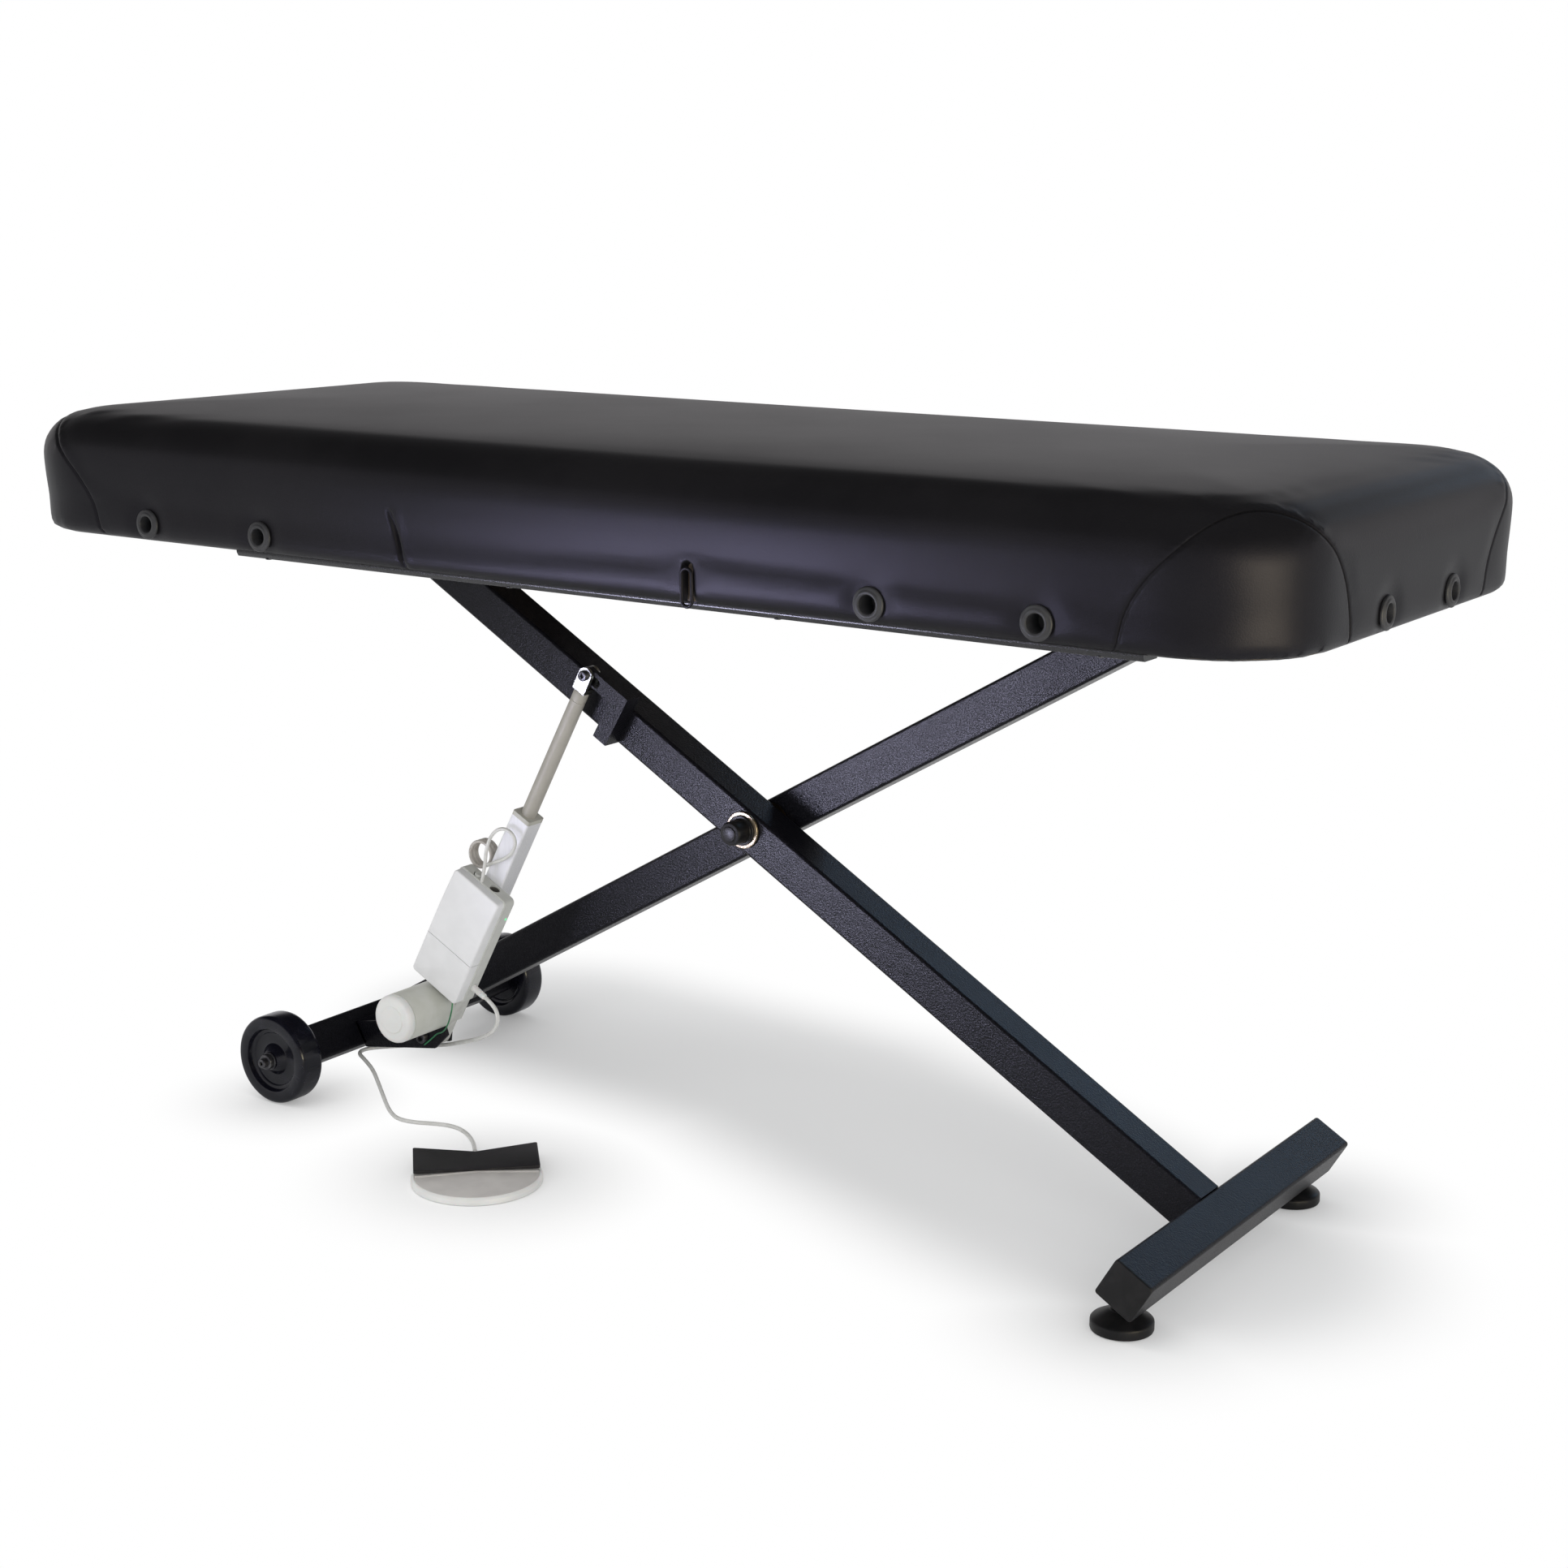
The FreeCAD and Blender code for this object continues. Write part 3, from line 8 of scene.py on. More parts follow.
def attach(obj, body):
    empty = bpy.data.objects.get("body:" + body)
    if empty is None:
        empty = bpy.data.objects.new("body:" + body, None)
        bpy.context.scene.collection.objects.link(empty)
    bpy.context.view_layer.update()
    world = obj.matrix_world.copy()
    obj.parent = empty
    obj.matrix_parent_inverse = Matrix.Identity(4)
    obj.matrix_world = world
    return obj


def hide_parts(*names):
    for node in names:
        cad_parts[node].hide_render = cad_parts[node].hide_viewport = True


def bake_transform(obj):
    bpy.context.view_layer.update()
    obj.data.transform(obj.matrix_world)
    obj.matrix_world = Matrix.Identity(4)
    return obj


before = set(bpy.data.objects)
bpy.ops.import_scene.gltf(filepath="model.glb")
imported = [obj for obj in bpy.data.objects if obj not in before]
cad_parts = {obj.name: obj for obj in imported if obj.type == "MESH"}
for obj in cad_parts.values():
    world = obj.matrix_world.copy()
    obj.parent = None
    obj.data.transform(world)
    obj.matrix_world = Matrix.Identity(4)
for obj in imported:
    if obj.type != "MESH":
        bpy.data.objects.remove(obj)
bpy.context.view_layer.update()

# The place it stands in: a pale floor under soft studio light, painted white for the camera outside a drawn
# shadow band, with a bright backdrop all round near the horizon and a dim ceiling. Lamps either light the
# table or are only mirrored in it.


class Value:
    """A socket in a node tree. Arithmetic on it adds the Math nodes that work it out."""

    def __init__(self, tree, socket):
        self.tree = tree
        self.socket = socket

    def node(self, kind, settings=None, inputs=None, out=0):
        """A new node of that type: its settings first, then its inputs. One of its outputs is returned."""
        made = self.tree.nodes.new("ShaderNode" + kind)
        for name, setting in (settings or {}).items():
            setattr(made, name, setting)
        for name, value in (inputs or {}).items():
            if isinstance(value, Value):
                self.tree.links.new(value.socket, made.inputs[name])
            else:
                made.inputs[name].default_value = value
        return Value(self.tree, made.outputs[out])

    def math(self, operation, first, second=0.0):
        return self.node("Math", {"operation": operation}, {0: first, 1: second})

    def __add__(self, other):
        return self.math("ADD", self, other)

    __radd__ = __add__

    def __sub__(self, other):
        return self.math("SUBTRACT", self, other)

    def __rsub__(self, other):
        return self.math("SUBTRACT", other, self)

    def __mul__(self, other):
        return self.math("MULTIPLY", self, other)

    __rmul__ = __mul__

    def __truediv__(self, other):
        return self.math("DIVIDE", self, other)

    def __pow__(self, other):
        return self.math("POWER", self, other)

    def __abs__(self):
        return self.math("ABSOLUTE", self)

    def ease(self, low, high):
        """0 below low, 1 above high and a smooth step between them."""
        return self.node("MapRange", {"interpolation_type": "SMOOTHSTEP"}, {0: self, 1: low, 2: high})

    def blend(self, first, second):
        """The first colour where this value is 0, and the second where it is 1."""
        return self.node("Mix", {"data_type": "RGBA"}, {0: self, 6: first, 7: second}, 2)

    def between(self, first, second):
        """The first number where this value is 0, and the second where it is 1."""
        return first + self * (second - first)


world = bpy.data.worlds.new("studio")
bpy.context.scene.world = world
world.use_nodes = True
sky = world.node_tree
sky.nodes.clear()
rays = sky.nodes.new("ShaderNodeLightPath")
camera_rays = Value(sky, rays.outputs["Is Camera Ray"])
mirror_rays = camera_rays.math("MAXIMUM", Value(sky, rays.outputs["Is Glossy Ray"]),
                               Value(sky, rays.outputs["Is Transmission Ray"]))
direction = camera_rays.node("TexCoord")
height = camera_rays.node("SeparateXYZ", None, {0: direction}, 2)
backdrop = height.ease(0.21, 0.48).blend((0.92, 0.90, 0.91, 1.0), (0.010, 0.010, 0.012, 1.0))
fill = camera_rays.node("Background", None, {0: (0.98, 0.99, 1.0, 1.0), 1: 0.86})
mirrored = camera_rays.node("Background", None, {0: backdrop, 1: 1.0})
seen = camera_rays.node("Background", None, {0: (1.0, 1.0, 1.0, 1.0), 1: 1.0})
lit = camera_rays.node("MixShader", None, {0: mirror_rays, 1: fill, 2: mirrored})
shown = camera_rays.node("MixShader", None, {0: camera_rays, 1: lit, 2: seen})
sky.links.new(shown.socket, sky.nodes.new("ShaderNodeOutputWorld").inputs["Surface"])

bpy.ops.object.select_all(action="DESELECT")
bpy.ops.mesh.primitive_plane_add(size=24.0, location=(0.0, 0.0, -0.0005))
floor = bpy.context.object
floor.name = "floor"
# Painted light on the floor: camera rays see a white emission mixed over the lit floor, fully away from a
# drawn band under the table and from spots round the footswitch, the near wheel and the two feet, and by at
# least a fifth everywhere, so the floor's own shadow shows only there, lightened.
shade_from, shade_to, painted_white_least = 0.02, 0.24, 0.2
shade_line, shade_half = ((-0.52, 0.27), (-0.03, 0.24), (0.46, 0.05), (0.68, -0.02)), 0.11
shade_spots = ((-0.161, -0.302, 0.02), (-0.569, -0.229, -0.05), (0.687, -0.223, 0.0), (0.687, 0.223, 0.0))
floor_paper = bpy.data.materials.new("floor_paper")
floor_paper.use_nodes = True
paper = floor_paper.node_tree
paper.nodes.clear()
spot = Value(paper, paper.nodes.new("ShaderNodeTexCoord").outputs["Object"])
place_x, place_y = (spot.node("SeparateXYZ", None, {0: spot}, i) for i in (0, 1))
away = None
for (x0, y0), (x1, y1) in zip(shade_line, shade_line[1:]):
    run_x, run_y = x1 - x0, y1 - y0
    share = ((place_x - x0) * run_x + (place_y - y0) * run_y) / (run_x * run_x + run_y * run_y)
    share = spot.math("MINIMUM", spot.math("MAXIMUM", share, 0.0), 1.0)
    aside, ahead = place_x - x0 - share * run_x, place_y - y0 - share * run_y
    gap = (aside * aside + ahead * ahead) ** 0.5 - shade_half
    away = gap if away is None else spot.math("MINIMUM", away, gap)
for x, y, reach in shade_spots:
    aside, ahead = place_x - x, place_y - y
    away = spot.math("MINIMUM", away, (aside * aside + ahead * ahead) ** 0.5 - reach)
matt = spot.node("BsdfDiffuse", None, {0: (0.93, 0.93, 0.93, 1.0)})
glow = spot.node("Emission", None, {0: (1.0, 1.0, 1.0, 1.0), 1: 1.0})
painted_white_share = away.ease(shade_from, shade_to).between(painted_white_least, 1.0) * spot.node("LightPath")
surface = spot.node("MixShader", None, {0: painted_white_share, 1: matt, 2: glow})
paper.links.new(surface.socket, paper.nodes.new("ShaderNodeOutputMaterial").inputs["Surface"])
floor.data.materials.append(floor_paper)

shine, mirror = (True, False), (False, True)
for name, place, aim, (width, tall), power, color, spread, (shines, mirrors) in (
    ("overhead", (0.0, -0.4, 3.4), (0.0, 0.0, 0.5), (2.0, 2.0), 37.0, (1.0, 0.98, 0.96), 180.0, shine),
    ("front", (-1.6, -2.6, 1.4), (-0.2, 0.0, 0.4), (1.2, 1.2), 6.0, (1.0, 0.99, 0.98), 180.0, shine),
    ("side", (-0.62, -1.5, 0.21), (0.25, -0.06, 0.55), (0.5, 0.32), 2.6, (0.74, 0.73, 1.0), 40.0, mirror),
    ("right", (2.2, -1.8, 1.0), (-0.3, -0.1, 0.3), (1.2, 1.2), 12.0, (1.0, 0.98, 0.95), 180.0, shine),
    ("warm", (2.7, -1.0, 0.50), (0.9, -0.4, 0.75), (1.8, 0.7), 11.0, (1.0, 0.88, 0.58), 80.0, mirror),
    ("back", (0.40, 2.6, 2.10), (0.35, 0.0, 0.29), (0.7, 0.7), 0.20, (0.45, 0.68, 1.0), 26.0, mirror),
    ("bar", (1.10, 2.6, 1.65), (0.71, 0.0, 0.10), (0.7, 0.7), 0.17, (0.38, 0.66, 1.0), 26.0, mirror),
):
    lamp = bpy.data.lights.new(name, "AREA")
    lamp.shape = "RECTANGLE"
    lamp.size, lamp.size_y = width, tall
    lamp.energy = power
    lamp.color = color
    lamp.spread = math.radians(spread)
    stand = bpy.data.objects.new(name, lamp)
    stand.location = place
    stand.rotation_euler = (Vector(aim) - Vector(place)).to_track_quat("-Z", "Y").to_euler()
    stand.visible_camera = False
    stand.visible_diffuse = shines
    stand.visible_glossy = mirrors
    bpy.context.scene.collection.objects.link(stand)

azimuth, elevation, roll = math.radians(34.377), math.radians(13.026), math.radians(0.311)
target = Vector((0.08876, 0.0, 0.48096))
distance = 3.20704
lens = bpy.data.cameras.new("camera")
lens.sensor_fit = "HORIZONTAL"
lens.sensor_width = 36.0
lens.lens = 59.62
camera = bpy.data.objects.new("camera", lens)
turn = Euler((math.pi / 2 - elevation, 0.0, azimuth)).to_matrix() @ Matrix.Rotation(roll, 3, "Z")
level = math.cos(elevation)
back = Vector((math.sin(azimuth) * level, -math.cos(azimuth) * level, math.sin(elevation)))
camera.matrix_world = Matrix.Translation(target + back * distance) @ turn.to_4x4()
bpy.context.scene.collection.objects.link(camera)
bpy.context.scene.camera = camera
bpy.context.scene.view_settings.view_transform = "Standard"


# Tray of the top: birch ply boards, sawn to size and stained dark, with rounded blocks glued in at the
# corners and a deck board screwed down over them.
def new_finish(name, **sockets):
    """A material of one Principled shader with its constant sockets set, and its Object coordinates."""
    material = bpy.data.materials.new(name)
    material.use_nodes = True
    shader = material.node_tree.nodes["Principled BSDF"]
    for socket, value in sockets.items():
        shader.inputs[socket.replace("_", " ")].default_value = value
    spot = Value(material.node_tree, material.node_tree.nodes.new("ShaderNodeTexCoord").outputs["Object"])
    return material, shader, spot


def feed(shader, **values):
    """Links values that change over the surface to the shader's sockets."""
    for socket, value in values.items():
        value.tree.links.new(value.socket, shader.inputs[socket.replace("_", " ")])


def stretched(spot, x, y, z):
    return spot.node("Mapping", None, {"Vector": spot, "Scale": (x, y, z)})


def noise(spot, scale, detail=2.0, rough=0.5):
    return spot.node("TexNoise", None, {"Vector": spot, "Scale": scale, "Detail": detail, "Roughness": rough})


def bump(height, strength, depth):
    return height.node("Bump", None, {"Strength": strength, "Distance": depth, "Height": height})


def dress(material, *nodes):
    for node in nodes:
        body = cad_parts[node]
        if not body.material_slots:
            body.data.materials.append(material)
        for slot in body.material_slots:
            slot.material = material


birch_ply, shader, spot = new_finish("birch_ply", Specular_IOR_Level=0.3)
face_ply, glue_line = (0.085, 0.062, 0.042, 1.0), (0.050, 0.036, 0.024, 1.0)
core_ply = (0.072, 0.052, 0.035, 1.0)
grain = noise(stretched(spot, 3.0, 60.0, 60.0), 2.0, 4.0, 0.6)
plies = spot.node("TexWave", {"bands_direction": "Z"}, {"Vector": spot, "Scale": 110.0, "Distortion": 0.4})
feed(shader, Base_Color=grain.ease(0.3, 0.75).blend(face_ply, plies.blend(glue_line, core_ply)),
     Roughness=grain.between(0.55, 0.75), Normal=bump(grain, 0.2, 0.0004))
dress(birch_ply, "deck_board", "side_aprons", "end_aprons", "corner_blocks")

# Steel under the top, the two legs and their bars: square tube and flat bar, welded, then powder
# coated black with a fine orange peel. Its little sparkle is painted, as lighter flecks in its colour.
powder_black, shader, spot = new_finish("powder_black", Specular_IOR_Level=0.12)
peel = noise(spot, 480.0, 2.0, 0.6)
# Painted glints: fine flecks a little lighter in the base colour stand in for the coat's sparkle.
painted_sparkle = noise(spot, 900.0, 1.0)
worn = noise(spot, 9.0, 3.0)
feed(shader,
     Base_Color=painted_sparkle.ease(0.45, 0.75).blend((0.004, 0.004, 0.006, 1.0), (0.016, 0.016, 0.020, 1.0)),
     Roughness=worn.between(0.27, 0.36), Normal=bump(peel, 1.0, 0.0006))
dress(powder_black, "near_leg_tube", "far_leg_tube", "foot_bar", "axle_bar", "hinge_sleeve", "rod_bracket",
      "cross_rails", "roller_channels", "hinge_brackets")

# Bright parts: the feet's threaded stems, the rod's fork and the footswitch's pin, turned and milled from
# steel and zinc plated.
bright_zinc, shader, spot = new_finish("bright_zinc", Metallic=1.0)
spangle = spot.node("TexVoronoi", None, {"Vector": spot, "Scale": 260.0})
feed(shader,
     Base_Color=spangle.ease(0.1, 0.7).blend((0.46, 0.47, 0.45, 1.0), (0.34, 0.35, 0.33, 1.0)),
     Roughness=noise(spot, 120.0, 3.0).between(0.22, 0.42), Normal=bump(noise(spot, 700.0), 0.08, 0.0002))
dress(bright_zinc, "leveling_stems", "rod_fork", "footswitch_pin")

# Padded top: one black vinyl cover drawn over foam, sewn to a panel at each corner, pulled under the
# tray and stapled. Two strap openings on the near side: one lies open, the other is pinched shut.
top_half, side_half, plan_corner = 0.889, 0.3556, 0.118
pad_low, pad_high, shoulder = 0.763, 0.9146, 0.8576
rim_roll, crown_rise, hem_width, hem_drop, skin = 0.055, 0.008, 0.025, 0.002, 0.0015
swell_by_height = ((pad_low, 0.0), (0.769, 0.0025), (0.805, 0.0034), (0.831, 0.0071), (shoulder, 0.0095))
end_share, end_fall, end_reach = 0.3, 0.005, 0.15
panel_half, panel_height = 0.120, 0.141
cloth_step, cloth_cap, cloth_frames, cloth_pressure = 0.008, 0.0015, 20, 4.0
held_hem, held_seam, held_socket, held_slot = 0.006, 0.006, 0.019, 0.012
fine_bands, hem_rise, hem_flat = (0.012, 0.005, 0.0025), 0.012, 0.003
side_socket_x, end_socket_y, socket_level, socket_hole = (0.437, 0.633), 0.0915, 0.784, 0.0125
slot_x, slot_low, slot_high, slot_half = 0.207, 0.7665, 0.8015, 0.0052
pinch_x, pinch_lean, pinch_low, pinch_high = -0.2135, 0.017, 0.766, 0.834
groove_deep, groove_half = 0.0014, 0.0016
pull_deep, pull_from, pull_reach = 0.0022, 0.0185, 0.012
sink_deep, sink_lip = 0.012, 0.002
crease_deep, crease_half, lip_rise, lip_out, lip_half = 0.0060, 0.0032, 0.0014, 0.010, 0.006
face_skin, touch, nowhere = 0.02, 0.0001, 1.0


def deselect():
    bpy.ops.object.select_all(action="DESELECT")


def only(piece):
    """Selects the piece alone."""
    deselect()
    piece.select_set(True)
    bpy.context.view_layer.objects.active = piece


def block(name, low, high):
    """A plain block between two corners, for shaping."""
    deselect()
    low, high = Vector(low), Vector(high)
    bpy.ops.mesh.primitive_cube_add(size=1.0, location=(low + high) / 2, scale=high - low)
    piece = bpy.context.object
    piece.name = name
    bpy.ops.object.transform_apply(location=True, rotation=True, scale=True)
    return piece


def editing(piece):
    """Opens the piece alone for edit mode work, with nothing in it selected."""
    only(piece)
    bpy.ops.object.mode_set(mode="EDIT")
    bpy.ops.mesh.select_all(action="DESELECT")


def edited():
    bpy.ops.object.mode_set(mode="OBJECT")


def pick(kind, test):
    """Selects the vertices, edges or faces of the piece being edited that pass the test."""
    modes = {"verts": "VERT", "edges": "EDGE", "faces": "FACE"}
    bpy.ops.mesh.select_all(action="DESELECT")
    bpy.ops.mesh.select_mode(type=modes[kind])
    mesh = bpy.context.object.data
    shape = bmesh.from_edit_mesh(mesh)
    shape.normal_update()
    for part in getattr(shape, kind):
        part.select_set(test(part))
    shape.select_flush_mode()
    bmesh.update_edit_mesh(mesh)


def middle(part):
    """The middle of an edge or a face."""
    if isinstance(part, bmesh.types.BMFace):
        return part.calc_center_median()
    return (part.verts[0].co + part.verts[1].co) / 2


def finish_with(piece, kind, **settings):
    """Adds a modifier of that kind to the piece and applies it."""
    only(piece)
    modifier = piece.modifiers.new(kind.lower(), kind)
    for name, value in settings.items():
        setattr(modifier, name, value)
    bpy.ops.object.modifier_apply(modifier=modifier.name)


def smooth(piece, degrees):
    only(piece)
    bpy.ops.object.shade_smooth_by_angle(angle=math.radians(degrees))


def furnish(piece, finish, body, slot, *nodes):
    """Gives a piece its finish and the body that it rides on, and hides the nodes that it stands for. Its
    slot is not used.
    """
    piece.data.materials.clear()
    piece.data.materials.append(finish)
    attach(piece, body)
    if nodes:
        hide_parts(*nodes)


def plan_place(x, y):
    """How far a point of the plan lies inside the top's outline, and the way out from it."""
    beyond_x = abs(x) - (top_half - plan_corner)
    beyond_y = abs(y) - (side_half - plan_corner)
    if beyond_x > 0 and beyond_y > 0:
        reach = math.hypot(beyond_x, beyond_y)
        way = Vector((math.copysign(beyond_x / reach, x), math.copysign(beyond_y / reach, y), 0.0))
        return plan_corner - reach, way
    if beyond_x > beyond_y:
        return plan_corner - beyond_x, Vector((math.copysign(1.0, x), 0.0, 0.0))
    return plan_corner - beyond_y, Vector((0.0, math.copysign(1.0, y), 0.0))


def swell(z):
    """How far the long sides stand out at that height."""
    if z >= shoulder:
        rise = min((z - shoulder) / (pad_high - shoulder), 1.0)
        return swell_by_height[-1][1] * math.sqrt(1.0 - rise * rise)
    for (z0, out0), (z1, out1) in zip(swell_by_height, swell_by_height[1:]):
        if z < z1:
            return out0 + (out1 - out0) * max(z - z0, 0.0) / (z1 - z0)
    return 0.0


def panel_seam(spot):
    """How far a point lies outside the seam of the nearest corner panel."""
    aside = (abs(spot.x) - top_half - abs(spot.y) + side_half) * math.sqrt(0.5)
    return (math.hypot(aside / panel_half, (spot.z - pad_low) / panel_height) - 1.0) * panel_half


def socket_gap(spot):
    """How far a point lies from the middle of the nearest accessory socket, across its face."""
    along_side = min(math.hypot(abs(spot.x) - x, spot.z - socket_level) for x in side_socket_x)
    along_end = math.hypot(abs(spot.y) - end_socket_y, spot.z - socket_level)
    if abs(spot.y) > side_half - face_skin:
        return along_side
    return along_end if abs(spot.x) > top_half - face_skin else nowhere


def slot_gap(spot):
    """How far a point of the near side lies from the open slot's middle line."""
    if spot.y > face_skin - side_half:
        return nowhere
    return math.hypot(spot.x - slot_x, spot.z - min(max(spot.z, slot_low), slot_high))


def pinch_gap(spot):
    """How far a point of the near side lies from the pinched opening, and how deep the pinch is there."""
    share = (spot.z - pinch_low) / (pinch_high - pinch_low)
    if spot.y > face_skin - side_half or not -0.1 < share < 1.0:
        return nowhere, 0.0
    line = pinch_x + pinch_lean * (0.5 - share)
    return spot.x - line, math.sin(math.pi * min(max(share + 0.1, 0.0) / 1.1, 1.0)) ** 0.7


pad = block("pad_cover", (-top_half, -side_half, pad_low - hem_drop), (top_half, side_half, pad_high))
editing(pad)
pick("edges", lambda edge: abs(edge.verts[0].co.z - edge.verts[1].co.z) > (pad_high - pad_low) / 2)
bpy.ops.mesh.bevel(offset=plan_corner, segments=12, affect="EDGES")
pick("edges", lambda edge: all(corner.co.z > pad_high - touch for corner in edge.verts))
bpy.ops.mesh.bevel(offset=rim_roll, segments=7, affect="EDGES")
edited()
finish_with(pad, "REMESH", mode="VOXEL", voxel_size=cloth_step)
finish_with(pad, "SMOOTH", factor=0.5, iterations=4)
for vertex in pad.data.vertices:
    depth, way = plan_place(vertex.co.x, vertex.co.y)
    on_top = min(max((vertex.co.z - shoulder) / (pad_high - shoulder), 0.0), 1.0)
    share = min(max((depth - rim_roll) / (side_half - rim_roll), 0.0), 1.0)
    near_end = max(1.0 - (top_half - abs(vertex.co.x)) / end_reach, 0.0)
    rise = crown_rise * (1.0 - (1.0 - share) ** 3) - end_fall * near_end**2
    if depth < rim_roll + face_skin:
        vertex.co += way * (swell(vertex.co.z) * (end_share + (1.0 - end_share) * way.y**2))
    vertex.co.z += rise * on_top
held = pad.vertex_groups.new(name="held")
start = [vertex.co.copy() for vertex in pad.data.vertices]
for vertex in pad.data.vertices:
    sewn = vertex.co.z < pad_low + held_hem or abs(panel_seam(vertex.co)) < held_seam
    if sewn or socket_gap(vertex.co) < held_socket or slot_gap(vertex.co) < held_slot:
        held.add([vertex.index], 1.0, "REPLACE")
cloth = pad.modifiers.new("cloth", "CLOTH")
cloth.settings.quality = 3
cloth.settings.vertex_group_mass = "held"
cloth.settings.use_pressure = True
cloth.settings.uniform_pressure_force = cloth_pressure
cloth.settings.effector_weights.gravity = 0.0
cloth.collision_settings.use_collision = False
cloth.point_cache.frame_end = cloth_frames
for step in range(1, cloth_frames + 1):
    bpy.context.scene.frame_set(step)
swollen = pad.evaluated_get(bpy.context.evaluated_depsgraph_get())
after = [vertex.co.copy() for vertex in swollen.data.vertices]
pad.modifiers.remove(cloth)
for vertex, spot, pushed in zip(pad.data.vertices, start, after):
    move = pushed - spot
    if move.length > cloth_cap:
        move *= cloth_cap / move.length
    vertex.co = spot + move
bpy.context.scene.frame_set(1)
finish_with(pad, "SMOOTH", factor=0.5, iterations=2)

editing(pad)
for width in fine_bands:
    pick("faces", lambda face: face.normal.z > -0.7 and (
        abs(panel_seam(middle(face))) < width or abs(socket_gap(middle(face)) - socket_hole) < width
        or slot_gap(middle(face)) < 2 * width or abs(pinch_gap(middle(face))[0]) < 2 * width))
    bpy.ops.mesh.subdivide(number_cuts=1)
pick("faces", lambda face: face.normal.z < -0.6 and middle(face).z < pad_low + hem_rise
     and plan_place(*middle(face).xy)[0] > hem_width)
bpy.ops.mesh.delete(type="FACE")
pick("faces", lambda face: abs(face.normal.z) < 0.5 and socket_gap(middle(face)) < socket_hole)
bpy.ops.mesh.delete(type="FACE")
edited()


def hump(gap, half):
    """1 in the middle, falling away smoothly at about that half width."""
    return math.exp(-((gap / half) ** 2))


for vertex in pad.data.vertices:
    depth, way = plan_place(vertex.co.x, vertex.co.y)
    if vertex.co.z < pad_low + hem_flat or depth > rim_roll:
        continue
    groove = groove_deep * hump(panel_seam(vertex.co), groove_half)
    pull = pull_deep * hump(max(socket_gap(vertex.co) - pull_from, 0.0), pull_reach)
    sink = sink_deep * max(1.0 - (slot_gap(vertex.co) / (slot_half + sink_lip)) ** 4, 0.0)
    gap, deep = pinch_gap(vertex.co)
    crease = deep * (crease_deep * hump(gap, crease_half) - lip_rise * hump(gap - lip_out, lip_half))
    vertex.co -= way * (groove + pull + sink + crease)
finish_with(pad, "SOLIDIFY", thickness=skin, offset=-1.0)
only(pad)
bpy.ops.object.shade_smooth()

vinyl, shader, spot = new_finish("vinyl", Specular_IOR_Level=0.15, Specular_Tint=(0.84, 0.81, 1.0, 1.0))
place_x, place_y, place_z = (spot.node("SeparateXYZ", None, {0: spot}, i) for i in range(3))
aside = (abs(place_x) - abs(place_y) - (top_half - side_half)) * math.sqrt(0.5)
rise = (place_z - pad_low) / panel_height
arch = ((aside / panel_half) ** 2.0 + rise * rise) ** 0.5 - 1.0
# Along each corner panel's seam the vinyl is grooved in the bump and rougher, and its colour is painted near
# black there as the groove's shade.
seam = 1.0 - abs(arch * panel_half).ease(0.0003, 0.0012)
pebble = spot.node("TexVoronoi", {"feature": "SMOOTH_F1"}, {"Vector": spot, "Scale": 620.0})
pores = noise(spot, 1500.0)
handled = noise(spot, 3.5, 4.0, 0.6)
tone = handled.ease(0.3, 0.7).blend((0.0045, 0.0043, 0.0047, 1.0), (0.0075, 0.0071, 0.0076, 1.0))
feed(shader,
     Base_Color=seam.blend(tone, (0.002, 0.002, 0.002, 1.0)),
     Roughness=seam.between(handled.between(0.37, 0.47), 0.8),
     Normal=bump(pebble * 0.7 + pores * 0.3 - seam, 0.22, 0.0005))
furnish(pad, vinyl, "top", "vinyl", "vinyl_cover", "corner_gussets", "cushion_foam", "side_foam")

# Rim of the open strap slot: the cover's own vinyl, its cut edge rolled over and glued into a thin
# round welt, which stands out a little more at its upper end.
welt_bend, welt_thickness, welt_out, welt_lean = 0.0068, 0.0020, 0.0040, 0.0008
deselect()
bpy.ops.mesh.primitive_torus_add(major_radius=welt_bend, minor_radius=welt_thickness, major_segments=40,
                                 minor_segments=12, location=(slot_x, -side_half - welt_out, slot_low),
                                 rotation=(math.pi / 2, 0.0, 0.0))
welt = bpy.context.object
welt.name = "slot_welt"
bpy.ops.object.transform_apply(location=True, rotation=True, scale=True)
editing(welt)
pick("verts", lambda corner: corner.co.z > slot_low + touch)
bpy.ops.transform.translate(value=(0.0, 0.0, slot_high - slot_low - welt_bend))
pick("verts", lambda corner: corner.co.z > (slot_low + slot_high) / 2)
bpy.ops.transform.translate(value=(0.0, -welt_lean, 0.0))
edited()
smooth(welt, 60.0)
furnish(welt, vinyl, "top", "vinyl")


# Side rails: flat steel bars screwed up under the long edges, their lower outer edges chamfered, powder
# coated in a smoother gloss than the legs.
def joined(name, pieces):
    deselect()
    for piece in pieces:
        piece.select_set(True)
    bpy.context.view_layer.objects.active = pieces[0]
    bpy.ops.object.join()
    pieces[0].name = name
    return pieces[0]


